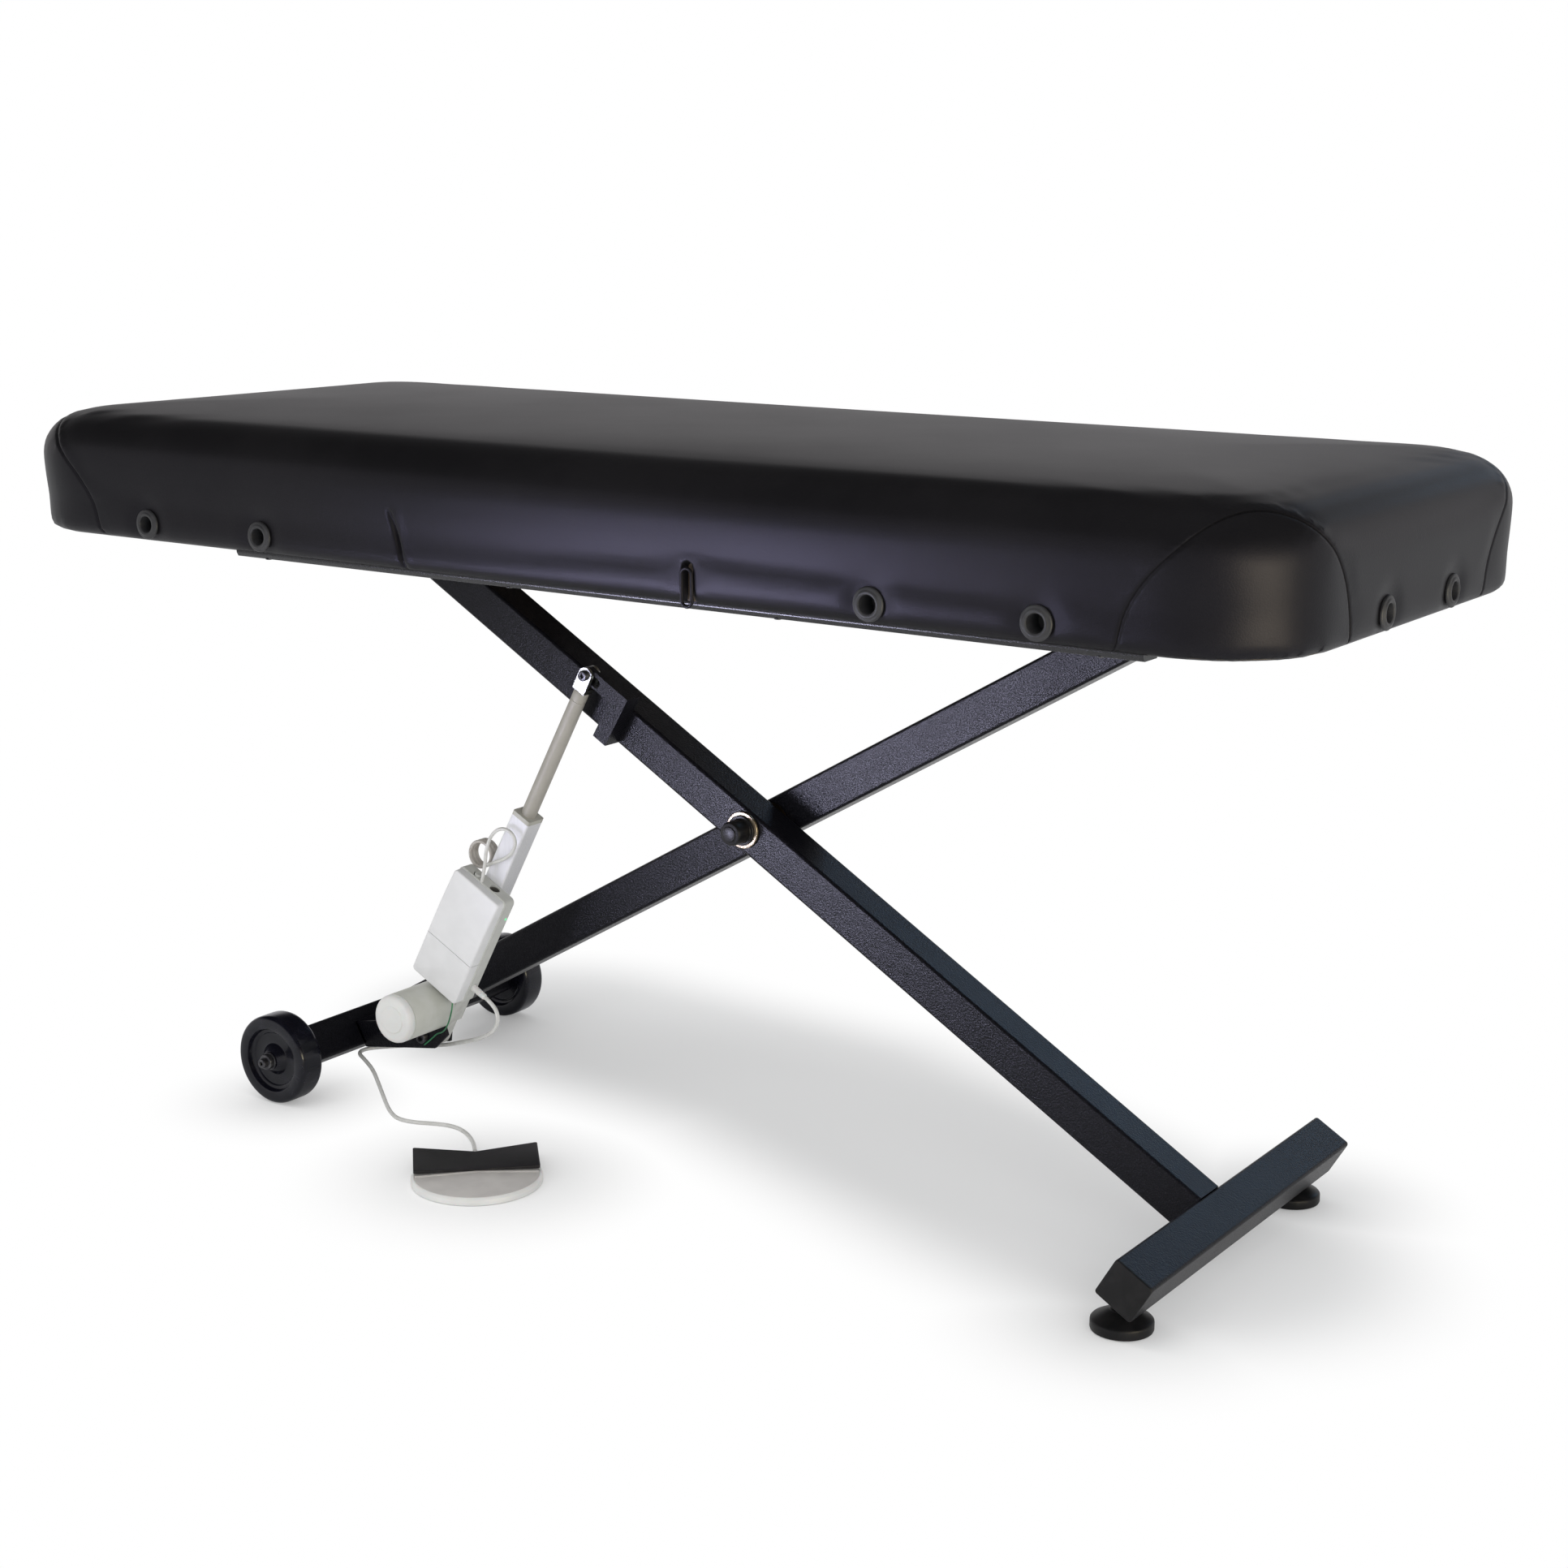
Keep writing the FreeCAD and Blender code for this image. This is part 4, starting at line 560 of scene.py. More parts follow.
rail_from, rail_to, rail_out, rail_in, rail_top, rail_bottom = -0.489, 0.745, 0.3466, 0.3166, 0.763, 0.755
chamfer, chamfer_lift, rail_edge = 0.0028, 0.0022, 0.0005
rails = []
for near_y, far_y in ((-rail_out, -rail_in), (rail_in, rail_out)):
    rail = block("rail", (rail_from, near_y, rail_bottom), (rail_to, far_y, rail_top))
    editing(rail)
    pick("edges", lambda edge: all(end.co.z < rail_bottom + touch and abs(end.co.y) > rail_out - touch
                                   for end in edge.verts))
    bpy.ops.mesh.bevel(offset_type="OFFSET", offset=chamfer, segments=1, affect="EDGES")
    pick("verts", lambda end: abs(end.co.y) > rail_out - touch and end.co.z < rail_top - touch)
    bpy.ops.transform.translate(value=(0.0, 0.0, chamfer_lift))
    pick("edges", lambda edge: edge.calc_face_angle() > math.radians(20) and edge.calc_length() > 0.5)
    bpy.ops.mesh.bevel(offset=rail_edge, segments=2, affect="EDGES")
    edited()
    smooth(rail, 30.0)
    rails.append(rail)
gloss_coat, shader, spot = new_finish("gloss_coat", Specular_IOR_Level=0.4)
ripple = noise(spot, 180.0)
feed(shader, Base_Color=ripple.ease(0.35, 0.7).blend((0.007, 0.007, 0.009, 1.0), (0.012, 0.012, 0.015, 1.0)),
     Roughness=ripple.between(0.22, 0.32), Normal=bump(ripple, 0.01, 0.0003))
furnish(joined("rail_bars", rails), gloss_coat, "top", "black_steel", "side_rails")


# Accessory sockets: twelve black moulded liners pushed through the cover into the boards, each with a
# stepped flange and a plain bore for an accessory's peg.
def drawn(name, profile):
    """Starts a piece, in edit mode, as a line through points in millimetres along X and Z."""
    deselect()
    bpy.ops.mesh.primitive_plane_add(size=0.001, location=(0.0, 0.0, 0.0))
    piece = bpy.context.object
    piece.name = name
    bpy.ops.object.mode_set(mode="EDIT")
    bpy.ops.mesh.select_mode(type="VERT")
    bpy.ops.mesh.select_all(action="SELECT")
    bpy.ops.mesh.merge(type="CENTER")
    places = [Vector((across, 0.0, height)) / 1000 for across, height in profile]
    bpy.ops.transform.translate(value=places[0])
    for here, there in zip(places, places[1:]):
        bpy.ops.mesh.extrude_region_move(TRANSFORM_OT_translate={"value": there - here})
    bpy.ops.mesh.select_all(action="SELECT")
    return piece


def turned(name, profile, steps=48):
    """A piece turned about its own Z axis, from its radii and heights in millimetres."""
    piece = drawn(name, profile)
    bpy.ops.mesh.spin(steps=steps, angle=2 * math.pi, center=(0.0, 0.0, 0.0), axis=(0.0, 0.0, 1.0))
    bpy.ops.mesh.select_all(action="SELECT")
    bpy.ops.mesh.remove_doubles(threshold=0.000005)
    bpy.ops.mesh.normals_make_consistent(inside=False)
    edited()
    smooth(piece, 32.0)
    return piece


def settle(piece, matrix):
    """Moves a piece that was made at the origin to its place, for good."""
    piece.matrix_world = matrix
    only(piece)
    bpy.ops.object.transform_apply(location=True, rotation=True, scale=True)


def seat(piece, place, way):
    """Settles a piece that was made along Z at its place, along that way."""
    settle(piece, Matrix.Translation(place) @ Vector(way).to_track_quat("Z", "Y").to_matrix().to_4x4())


def copy_of(piece):
    """Another one of the same piece, with its own mesh."""
    twin = piece.copy()
    twin.data = piece.data.copy()
    bpy.context.scene.collection.objects.link(twin)
    return twin


def set_out(name, piece, places):
    """The piece and copies of it, each at its place and along its way, joined to one."""
    pieces = [piece] + [copy_of(piece) for _ in places[1:]]
    for each, (place, way) in zip(pieces, places):
        seat(each, place, way)
    return joined(name, pieces)


def mottled(name, first, second, scale, rough, grain, strength, detail=3.0, low=0.3, **sockets):
    """A finish that shifts a little between two colours and two roughnesses, under a fine grain."""
    material, shader, spot = new_finish(name, **sockets)
    mottle = noise(spot, scale, detail)
    feed(shader, Base_Color=mottle.ease(low, 0.7).blend((*first, 1.0), (*second, 1.0)),
         Roughness=mottle.between(*rough), Normal=bump(noise(spot, grain), strength, 0.0002))
    return material


liner_profile = [
    (0, -20), (10, -20), (10, 4.4), (10.4, 5.5), (11.6, 6.3), (13.0, 6.5), (14.2, 6.1), (14.9, 5.4),
    (15.8, 5.1), (17.2, 4.8), (18.1, 4.2), (18.5, 3.4), (18.5, 2.0), (13, 2.0), (13, -24), (0, -24),
]
liner_places = []
flange_swell = 0.0034
end_face = top_half - (1.0 - end_share) * flange_swell
for side in (-1, 1):
    for x in side_socket_x:
        for mirrored_x in (-x, x):
            liner_places.append(((mirrored_x, side * side_half, socket_level), (0, side, 0)))
    for y in (-end_socket_y, end_socket_y):
        liner_places.append(((side * end_face, y, socket_level), (side, 0, 0)))
liners = set_out("socket_liners", turned("socket_liner", liner_profile, 40), liner_places)
worn_moulding = mottled("worn_moulding", (0.020, 0.020, 0.022), (0.032, 0.032, 0.034), 60.0, (0.42, 0.56),
                        1400.0, 0.12, low=0.35, Specular_IOR_Level=0.35)
furnish(liners, worn_moulding, "top", "black_plastic", "accessory_sockets")

# Centre pivot: a bolt with a black moulded cap through both legs, on a yellow zinc washer, turning in a
# bronze bush. The plain shafts of the axle, the rollers and the upper hinge are blackened like its shank.
pivot, pivot_way = Vector((0.0718598, 0.0, 0.4329893)), (0, -1, 0)
cap_profile = [
    (0, -57.6), (8.6, -57.6), (10, -56.2), (10, 66.6), (18.4, 66.6), (19, 67.2), (19, 68.6),
    (18.2, 69.4), (15.6, 69.7), (15, 70.3), (15, 87.1), (14.7, 89.6), (13.7, 91.5),
    (12.0, 92.4), (10.0, 92.6), (9.5, 92.9), (9.2, 93.7), (8.4, 94.1), (0, 94.1),
]
washer_profile = [
    (10.3, 62.65), (22.3, 62.65), (23, 63.3), (23, 65.8), (22.4, 66.45), (21.6, 66.6), (11, 66.6),
    (10.3, 66.0), (10.3, 62.65),
]
black_moulding = mottled("black_moulding", (0.006, 0.006, 0.0065), (0.011, 0.0105, 0.011), 60.0, (0.34, 0.48),
                         1400.0, 0.10, low=0.35, Specular_IOR_Level=0.2)
pivot_cap = turned("pivot_cap", cap_profile, 56)
seat(pivot_cap, pivot, pivot_way)
furnish(pivot_cap, black_moulding, "far_leg", "black_steel", "pivot_bolt")
washer = turned("pivot_washer_turned", washer_profile, 64)
seat(washer, pivot, pivot_way)
yellow_zinc, shader, spot = new_finish("yellow_zinc", Metallic=1.0)
stain = noise(spot, 140.0, 3.0)
feed(shader, Base_Color=stain.ease(0.3, 0.7).blend((0.32, 0.27, 0.20, 1.0), (0.22, 0.18, 0.13, 1.0)),
     Roughness=stain.between(0.36, 0.50), Normal=bump(stain, 0.08, 0.0002))
furnish(washer, yellow_zinc, "far_leg", "zinc_steel", "pivot_washer")
bronze, shader, spot = new_finish("bronze", Metallic=1.0)
tarnish = noise(spot, 90.0, 4.0)
feed(shader, Base_Color=tarnish.ease(0.3, 0.75).blend((0.100, 0.078, 0.052, 1.0), (0.050, 0.040, 0.030, 1.0)),
     Roughness=tarnish.between(0.28, 0.5))
dress(bronze, "pivot_bush")
black_oxide, shader, spot = new_finish("black_oxide", Metallic=0.8, Specular_IOR_Level=0.5)
rubbed = noise(spot, 150.0, 3.0)
feed(shader,
     Base_Color=rubbed.ease(0.4, 0.8).blend((0.050, 0.050, 0.056, 1.0), (0.130, 0.128, 0.134, 1.0)),
     Roughness=rubbed.between(0.28, 0.45), Normal=bump(rubbed, 0.10, 0.0003))
dress(black_oxide, "axle_shaft", "roller_bar", "hinge_shaft")

# Rail screws: blackened steel screws with low round heads and a pressed socket, four of them driven up
# through each side rail into the boards.
screw_profile = [
    (0, -0.4), (4.4, -0.4), (4.4, 0.2), (4.0, 0.7), (3.2, 1.0), (2.0, 1.1), (1.7, 0.9), (1.6, -0.1),
    (0, -0.1),
]
screw_x, screw_y = (-0.43964, -0.0571, 0.3131, 0.69564), 0.34058
screw_places = [((x, y, rail_bottom), (0, 0, -1)) for y in (-screw_y, screw_y) for x in screw_x]
screws = set_out("rail_screw_heads", turned("rail_screw", screw_profile, 24), screw_places)
furnish(screws, black_oxide, "top", "zinc_steel", "rail_screws")

# Foot bar's end caps: square black mouldings with rounded rims, each on a plug that is pressed into the
# open end of the tube.
leg_slope = math.radians(30.2)
foot_bar_axis = Vector((0.7076149, 0.0, 0.062971))
bar_end, half_tube, plug_wall, plug_depth, cap_thickness = 0.260, 0.0254, 0.0032, 0.018, 0.004
cap_corner, cap_rim = 0.004, 0.0014
caps = []
for side in (-1, 1):
    cap = block("cap", (-half_tube, -half_tube, 0.0), (half_tube, half_tube, cap_thickness))
    editing(cap)
    pick("faces", lambda face: face.normal.z < -0.9)
    bpy.ops.mesh.inset(thickness=plug_wall)
    bpy.ops.mesh.extrude_region_move(TRANSFORM_OT_translate={"value": (0.0, 0.0, -plug_depth)})
    pick("edges", lambda edge: middle(edge).z > 0
         and abs(edge.verts[0].co.z - edge.verts[1].co.z) > cap_thickness / 2)
    bpy.ops.mesh.bevel(offset=cap_corner, segments=4, affect="EDGES")
    pick("edges", lambda edge: all(corner.co.z > cap_thickness - touch for corner in edge.verts))
    bpy.ops.mesh.bevel(offset=cap_rim, segments=3, affect="EDGES")
    edited()
    smooth(cap, 35.0)
    tilt = Matrix.Rotation(leg_slope, 4, "Y") @ Matrix.Rotation(-side * math.pi / 2, 4, "X")
    settle(cap, Matrix.Translation(foot_bar_axis + Vector((0.0, side * bar_end, 0.0))) @ tilt)
    caps.append(cap)
furnish(joined("foot_bar_end_caps", caps), black_moulding, "near_leg", "black_plastic", "foot_bar_caps")

# Levelling feet and other nylon parts: black discs, turned with a raised boss that swivels on the stem's
# ball. The upper rollers and the wheels' bushes are of the same nylon.
foot_x, foot_y = 0.687494, 0.223
foot_profile = [
    (0, 21.1), (3, 21.75), (5, 23.08), (6.46, 25), (12.6, 25), (13.8, 24.2), (14.6, 22.9), (18, 21.6),
    (30.6, 13.7), (33.4, 12.7), (34.7, 11.2), (35, 9.4), (35, 2.2), (34.4, 0.7), (33, 0.05), (0, 0.05),
]
feet = set_out("swivel_feet", turned("near_foot", foot_profile, 64),
               [((foot_x, side * foot_y, 0.0), (0, 0, 1)) for side in (-1, 1)])
furnish(feet, black_moulding, "feet", "black_plastic", "leveling_pads")
dress(black_moulding, "roller_near", "roller_far", "axle_bushes")

# Transport wheels: gloss black mouldings with a rounded tread, a wide flat rim, a stepped dish and a
# coned hub, running on the axle and held by a collar nut with a centre-drilled axle end.
axle = Vector((-0.569, 0.0, 0.060))
wheel_y, nut_y = 0.229, 0.2495
half_face = [
    (44.4, 19.0), (43.5, 18.6), (43.0, 17.6), (41.8, 13.6), (41.0, 12.5), (39.6, 12.1), (37.6, 11.8),
    (36.6, 11.0), (35.8, 10.2), (34.6, 10.0), (22.6, 10.0), (21.4, 10.3), (20.6, 11.2),
]
tread = [(60.0, 12.0), (59.7, 14.6), (58.8, 16.8), (57.2, 18.4), (55.2, 19.0)]
wheel_profile = [(8.05, 20.0), (13.2, 20.0), (14.0, 19.4)] + half_face[::-1] + tread[::-1]
wheel_profile += [(r, -h) for r, h in tread] + [(r, -h) for r, h in half_face]
wheel_profile += [(17.6, -24.6), (16.8, -25.4), (8.05, -25.5), (8.05, 20.0)]
nut_profile = [
    (0, 0), (11.4, 0), (12, 0.5), (12, 1.6), (11.4, 2.1), (10.6, 2.2), (10.6, 7.4), (10.1, 8.4), (8.8, 9.0),
    (6.6, 9.1), (6.5, 15.0), (5.9, 15.8), (5.0, 16.0), (2.6, 16.0), (2.2, 15.2), (2.0, 12.4), (0, 12.0),
]
gloss_black, shader, spot = new_finish("gloss_black", Specular_IOR_Level=0.15, Coat_Roughness=0.06,
                                       Coat_Tint=(0.85, 0.88, 1.0, 1.0))
scuff = noise(spot, 45.0, 4.0, 0.65)
feed(shader,
     Base_Color=scuff.ease(0.4, 0.75).blend((0.004, 0.004, 0.007, 1.0), (0.009, 0.009, 0.014, 1.0)),
     Roughness=scuff.between(0.18, 0.34), Coat_Weight=scuff.between(0.22, 0.30),
     Normal=bump(noise(spot, 500.0), 0.06, 0.0003))
wheel = turned("near_wheel_moulded", wheel_profile, 80)
for piece, side, body, node in ((wheel, -1, "near_wheel", "wheel_near"),
                                (copy_of(wheel), 1, "far_wheel", "wheel_far")):
    seat(piece, axle + Vector((0.0, side * wheel_y, 0.0)), (0, side, 0))
    piece.name = body + "_moulded"
    furnish(piece, gloss_black, body, "wheel_plastic", node)
nuts = set_out("axle_collar_nuts", turned("axle_collar_nut", nut_profile, 48),
               [(axle + Vector((0.0, side * nut_y, 0.0)), (0, side, 0)) for side in (-1, 1)])
furnish(nuts, black_oxide, "axle", "zinc_steel", "axle_nuts")


# Tail bracket: two flame-cut steel cheeks and a back plate, welded to the axle bar and powder coated. The
# near cheek has a long nose, the far one ends just past the bolt.
def plate(name, outline, thickness, y):
    """A plate of that outline on the axle bar, its thickness in millimetres away from the viewer."""
    piece = drawn(name, outline + outline[:1])
    bpy.ops.mesh.remove_doubles(threshold=0.00001)
    bpy.ops.mesh.edge_face_add()
    bpy.ops.mesh.extrude_region_move(TRANSFORM_OT_translate={"value": (0.0, thickness / 1000, 0.0)})
    bpy.ops.mesh.select_all(action="SELECT")
    bpy.ops.mesh.normals_make_consistent(inside=False)
    edited()
    finish_with(piece, "BEVEL", width=ground_edge, segments=2, limit_method="ANGLE",
                angle_limit=math.radians(25))
    smooth(piece, 32.0)
    settle(piece, Matrix.Translation(axle + Vector((0.0, y, 0.0))) @ Matrix.Rotation(-leg_slope, 4, "Y"))
    return piece


near_cheek_y, far_cheek_y, cheek_thickness, back_width, ground_edge = -0.105, -0.070, 5.0, 40.0, 0.0008
root_line = [(25.4, -30.0), (25.4, 8.0), (120.3, -23.4)]
long_nose = [(164.3, -37.4), (179.3, -55.4), (177.3, -66.4), (146.3, -74.4)]
short_nose = [(146.0, -38.0), (151.0, -48.0), (150.0, -62.0), (142.0, -72.6)]
back_section = [(25.4, -25.4), (25.4, 8.0), (30.4, 8.0), (30.4, -25.4)]
bracket = joined("tail_bracket_plates", [
    plate("near_cheek", root_line + long_nose, cheek_thickness, near_cheek_y),
    plate("far_cheek", root_line + short_nose, cheek_thickness, far_cheek_y),
    plate("bracket_back", back_section, back_width, near_cheek_y),
])
furnish(bracket, powder_black, "far_leg", "black_steel", "tail_bracket")

# Linear actuator: a cast alloy gearbox hung on the tail bracket's bolt, a motor can with a pressed-on
# cap across it, a drawn square tube with a moulded end cap, and a painted rod with a bright fork.
tail_pin = Vector((-0.424338, -0.085, 0.082409))
lift = math.radians(62.17522)
up_tube = Vector((math.cos(lift), 0.0, math.sin(lift)))
right_of_tube = Vector((math.sin(lift), 0.0, -math.cos(lift)))
actuator_turn = Matrix((right_of_tube, (0, 1, 0), up_tube)).transposed().to_4x4()
actuator_frame = Matrix.Translation(tail_pin) @ actuator_turn
motor_along, motor_start = 60.0, -14.5
rod_radius, rod_start, rod_groove, rod_end = 10.0, 262.0, 551.6, 567.1


def on_actuator(along, y, across):
    """A point in metres from millimetres up the actuator's tube, away from the viewer and to its right."""
    return tail_pin + (up_tube * along + Vector((0.0, y, 0.0)) + right_of_tube * across) / 1000


cast_alloy, shader, spot = new_finish("cast_alloy", Specular_IOR_Level=0.4)
mottle = noise(spot, 70.0, 4.0)
feed(shader, Base_Color=mottle.ease(0.35, 0.7).blend((0.50, 0.50, 0.47, 1.0), (0.58, 0.58, 0.55, 1.0)),
     Roughness=mottle.between(0.42, 0.58), Normal=bump(noise(spot, 900.0, 3.0), 0.2, 0.0003))
dress(cast_alloy, "actuator_gearbox")

can_profile = [
    (0, 0), (21.4, 0), (23, 1.2), (23, 8), (30.6, 8), (32.0, 8.6), (32.5, 9.8), (32.5, 84.4), (32.2, 85.2),
    (31.4, 85.6), (30.8, 86.0), (0, 86.0),
]
bell_profile = [
    (0, 86.05), (31.2, 86.05), (32.2, 86.5), (32.5, 87.4), (32.5, 89.6), (32.1, 91.8), (31.0, 93.8),
    (29.2, 95.2), (26.8, 95.9), (24.0, 96.0), (19.4, 96.0), (18.6, 96.2), (18.2, 96.8), (17.6, 97.2),
    (0, 97.2),
]
painted_can = mottled("painted_can", (0.52, 0.525, 0.47), (0.57, 0.575, 0.53), 40.0, (0.34, 0.46),
                      800.0, 0.08, Specular_IOR_Level=0.5)
pale_moulding = mottled("pale_moulding", (0.68, 0.68, 0.66), (0.72, 0.72, 0.70), 30.0, (0.36, 0.48),
                        1200.0, 0.06, Specular_IOR_Level=0.5, Subsurface_Weight=0.15, Subsurface_Scale=0.004)
motor, end_bell = turned("motor_can", can_profile, 72), turned("motor_end_bell", bell_profile, 72)
for piece in (motor, end_bell):
    seat(piece, on_actuator(motor_along, motor_start, 0), (0, -1, 0))
furnish(motor, painted_can, "actuator", "cast_alloy", "motor_housing")
furnish(end_bell, pale_moulding, "actuator", "white_plastic", "motor_cap")

silver_tube, shader, spot = new_finish("silver_tube", Specular_IOR_Level=0.5, Metallic=0.10)
draw_lines = noise(stretched(spot, 260.0, 260.0, 6.0), 3.0, 3.0)
feed(shader, Base_Color=draw_lines.ease(0.3, 0.7).blend((0.70, 0.70, 0.72, 1.0), (0.77, 0.77, 0.79, 1.0)),
     Roughness=draw_lines.between(0.32, 0.42), Normal=bump(draw_lines, 0.05, 0.0002))
dress(silver_tube, "actuator_tube")
beige_moulding = mottled("beige_moulding", (0.43, 0.42, 0.37), (0.50, 0.49, 0.44), 55.0, (0.45, 0.6),
                         900.0, 0.1, Specular_IOR_Level=0.4)
dress(beige_moulding, "tube_end_cap")

rod_profile = [
    (0, rod_start), (9.0, rod_start), (rod_radius, rod_start + 1), (rod_radius, rod_groove),
    (9.55, 552.0), (9.55, 552.8), (rod_radius, 553.2), (rod_radius, 562.0), (9.6, 565.6), (8.6, rod_end),
    (0, rod_end),
]
thrust_rod = turned("thrust_rod", rod_profile)
seat(thrust_rod, tail_pin, up_tube)
cream_paint = mottled("cream_paint", (0.37, 0.350, 0.312), (0.41, 0.390, 0.350), 36.0, (0.48, 0.60),
                      700.0, 0.08, Specular_IOR_Level=0.35)
furnish(thrust_rod, cream_paint, "rod", "rod_alloy", "actuator_rod")


# Actuator's two screws: blackened socket-head screws, one through the tail bracket and the gearbox, the
# other through the fork at the rod's end.
def carve(piece, cutter, operation="DIFFERENCE"):
    """Shapes a piece with another one, which is used up."""
    finish_with(piece, "BOOLEAN", object=cutter, operation=operation, solver="EXACT")
    bpy.data.objects.remove(cutter)


def borer(sides, radius, depth, place):
    deselect()
    bpy.ops.mesh.primitive_cylinder_add(vertices=sides, radius=radius, depth=depth, location=place)
    return bpy.context.object


def cap_screw(name, shank, reach, head, height, key):
    """A socket-head screw along Z: its radii, lengths and hexagon key in millimetres, its head upwards."""
    screw = turned(name, [
        (0, -reach), (shank - 0.6, -reach), (shank, 0.6 - reach), (shank, 0), (head - 0.4, 0), (head, 0.4),
        (head, height - 1.0), (head - 0.3, height - 0.4), (head - 1.0, height), (key / 2 + 0.9, height),
        (key / 2 + 0.5, height - 0.4), (0, height - 0.4),
    ])
    carve(screw, borer(6, key / 1000 / math.sqrt(3), height / 1000, (0.0, 0.0, height * 0.9 / 1000)))
    smooth(screw, 32.0)
    return screw


tail_head = tail_pin + Vector((0.0, -0.020, 0.0))
fork_head = Vector((-0.148430, -0.0944, 0.605168))
tail_screw = cap_screw("tail_screw", 5.0, 46.0, 8.0, 8.0, 8.0)
seat(tail_screw, tail_head, (0, -1, 0))
furnish(tail_screw, black_oxide, "far_leg", "black_steel", "tail_bolt")
fork_screw = cap_screw("fork_screw", 4.0, 22.8, 6.5, 6.0, 5.5)
seat(fork_screw, fork_head, (0, -1, 0))
furnish(fork_screw, black_oxide, "rod", "black_steel", "fork_bolt")

# Control box: a moulded base screwed to the tube's front, with two round sockets in its upper end, and
# a white cover in two lengths: the upper one leans back a little, the lower one is the lid.
box_low, box_high, box_half = 0.096, 0.266, 0.043
box_back, box_split, box_front = -0.016, -0.034, -0.050
box_corner, base_rim, cover_rim, cover_inset = 0.007, 0.0010, 0.0024, 0.0016
lid_joint, lid_gap = 0.162, 0.0008
lean_at, lean_front, lean_by = (0.206, 0.232), -0.040, math.radians(2.2)
socket_y, plug_across, open_across, socket_radius, socket_depth = -25.5, -17.0, 13.5, 0.0073, 0.009


def slab(name, low, high, corner, rim):
    """A block of the control box, its Y-wise edges rounded, and its front rim eased."""
    piece = block(name, low, high)
    editing(piece)
    pick("edges", lambda edge: abs(edge.verts[0].co.y - edge.verts[1].co.y) > (high[1] - low[1]) / 2)
    bpy.ops.mesh.bevel(offset=corner, segments=6, affect="EDGES")
    pick("edges", lambda edge: all(end.co.y < low[1] + touch for end in edge.verts))
    bpy.ops.mesh.bevel(offset=rim, segments=4, affect="EDGES")
    edited()
    return piece


def stand_on_actuator(piece):
    settle(piece, actuator_frame)
    smooth(piece, 32.0)


box_base = slab("box_base", (-box_half, box_split, box_low), (box_half, box_back, box_high), box_corner,
                base_rim)
for across in (plug_across, open_across):
    mouth = (across / 1000, socket_y / 1000, box_high)
    carve(box_base, borer(40, socket_radius, 2 * socket_depth, mouth))
stand_on_actuator(box_base)
grey_moulding = mottled("grey_moulding", (0.52, 0.525, 0.495), (0.57, 0.575, 0.545), 45.0, (0.42, 0.55),
                        1100.0, 0.12, Specular_IOR_Level=0.4)
furnish(box_base, grey_moulding, "actuator", "grey_plastic", "control_box_base")

cover = slab("box_cover", (cover_inset - box_half, box_front, box_low + cover_inset),
             (box_half - cover_inset, box_split, box_high - cover_inset), box_corner - cover_inset, cover_rim)
editing(cover)
for bend in lean_at:
    bpy.ops.mesh.select_all(action="SELECT")
    bpy.ops.mesh.bisect(plane_co=(0.0, 0.0, bend), plane_no=(0.0, 0.0, 1.0))
    pick("verts", lambda end: end.co.z > bend + touch and end.co.y < lean_front)
    bpy.ops.transform.rotate(value=lean_by, orient_axis="X", center_override=(0.0, box_front, bend))
edited()
lid = copy_of(cover)
lid.name = "box_lid"
for piece, keep_upper in ((cover, True), (lid, False)):
    editing(piece)
    bpy.ops.mesh.select_all(action="SELECT")
    cut = lid_joint + (lid_gap / 2 if keep_upper else -lid_gap / 2)
    bpy.ops.mesh.bisect(plane_co=(0.0, 0.0, cut), plane_no=(0.0, 0.0, 1.0), use_fill=True,
                        clear_inner=keep_upper, clear_outer=not keep_upper)
    edited()
    stand_on_actuator(piece)
white_moulding = mottled("white_moulding", (0.74, 0.74, 0.745), (0.78, 0.78, 0.785), 35.0, (0.40, 0.52),
                         1300.0, 0.10, Specular_IOR_Level=0.45)
furnish(cover, white_moulding, "actuator", "white_plastic", "control_box_cover")
furnish(lid, white_moulding, "actuator", "white_plastic", "control_box_lid")

# Fittings of the control box: a pin holder in each socket, a plug in one of them, a green lamp and a
# ribbed rubber strain relief where the footswitch's cable leaves.
holder_profile = [(0, -8.9), (7.1, -8.9), (7.1, -2.4), (6.5, -1.8), (5.9, -2.4), (5.9, -7.4), (0, -7.4)]
pin_profile = [(0, -7.6), (0.7, -7.6), (0.7, -3.4), (0.4, -2.8), (0, -2.7)]
plug_profile = [
    (0, -7), (5.4, -7), (5.8, -6.4), (5.8, 1.2), (5.5, 2.0), (4.8, 2.4), (4.2, 2.5), (3.9, 2.2), (0, 2.0),
]
pin_count, pin_angle, pin_circle = 5, math.radians(45), 0.0034
socket_top, box_side = 266, 43
lamp_place, boot_place = on_actuator(236, -20, box_side), on_actuator(122, -25, box_side)
holder, pin = turned("pin_holders", holder_profile, 40), turned("pin", pin_profile, 12)
parts = [holder, copy_of(holder)]
for number in range(pin_count):
    post = copy_of(pin)
    swing = pin_angle * number
    settle(post, Matrix.Translation((pin_circle * math.cos(swing), pin_circle * math.sin(swing), 0.0)))
    parts.append(post)
bpy.data.objects.remove(pin)
for piece in parts:
    across = plug_across if piece is parts[1] else open_across
    seat(piece, on_actuator(socket_top, socket_y, across), up_tube)
dark_moulding, shader, spot = new_finish("dark_moulding", Specular_IOR_Level=0.4)
mottle = noise(spot, 80.0)
feed(shader, Base_Color=mottle.ease(0.3, 0.7).blend((0.085, 0.080, 0.072, 1.0), (0.12, 0.115, 0.105, 1.0)),
     Roughness=mottle.between(0.45, 0.6))
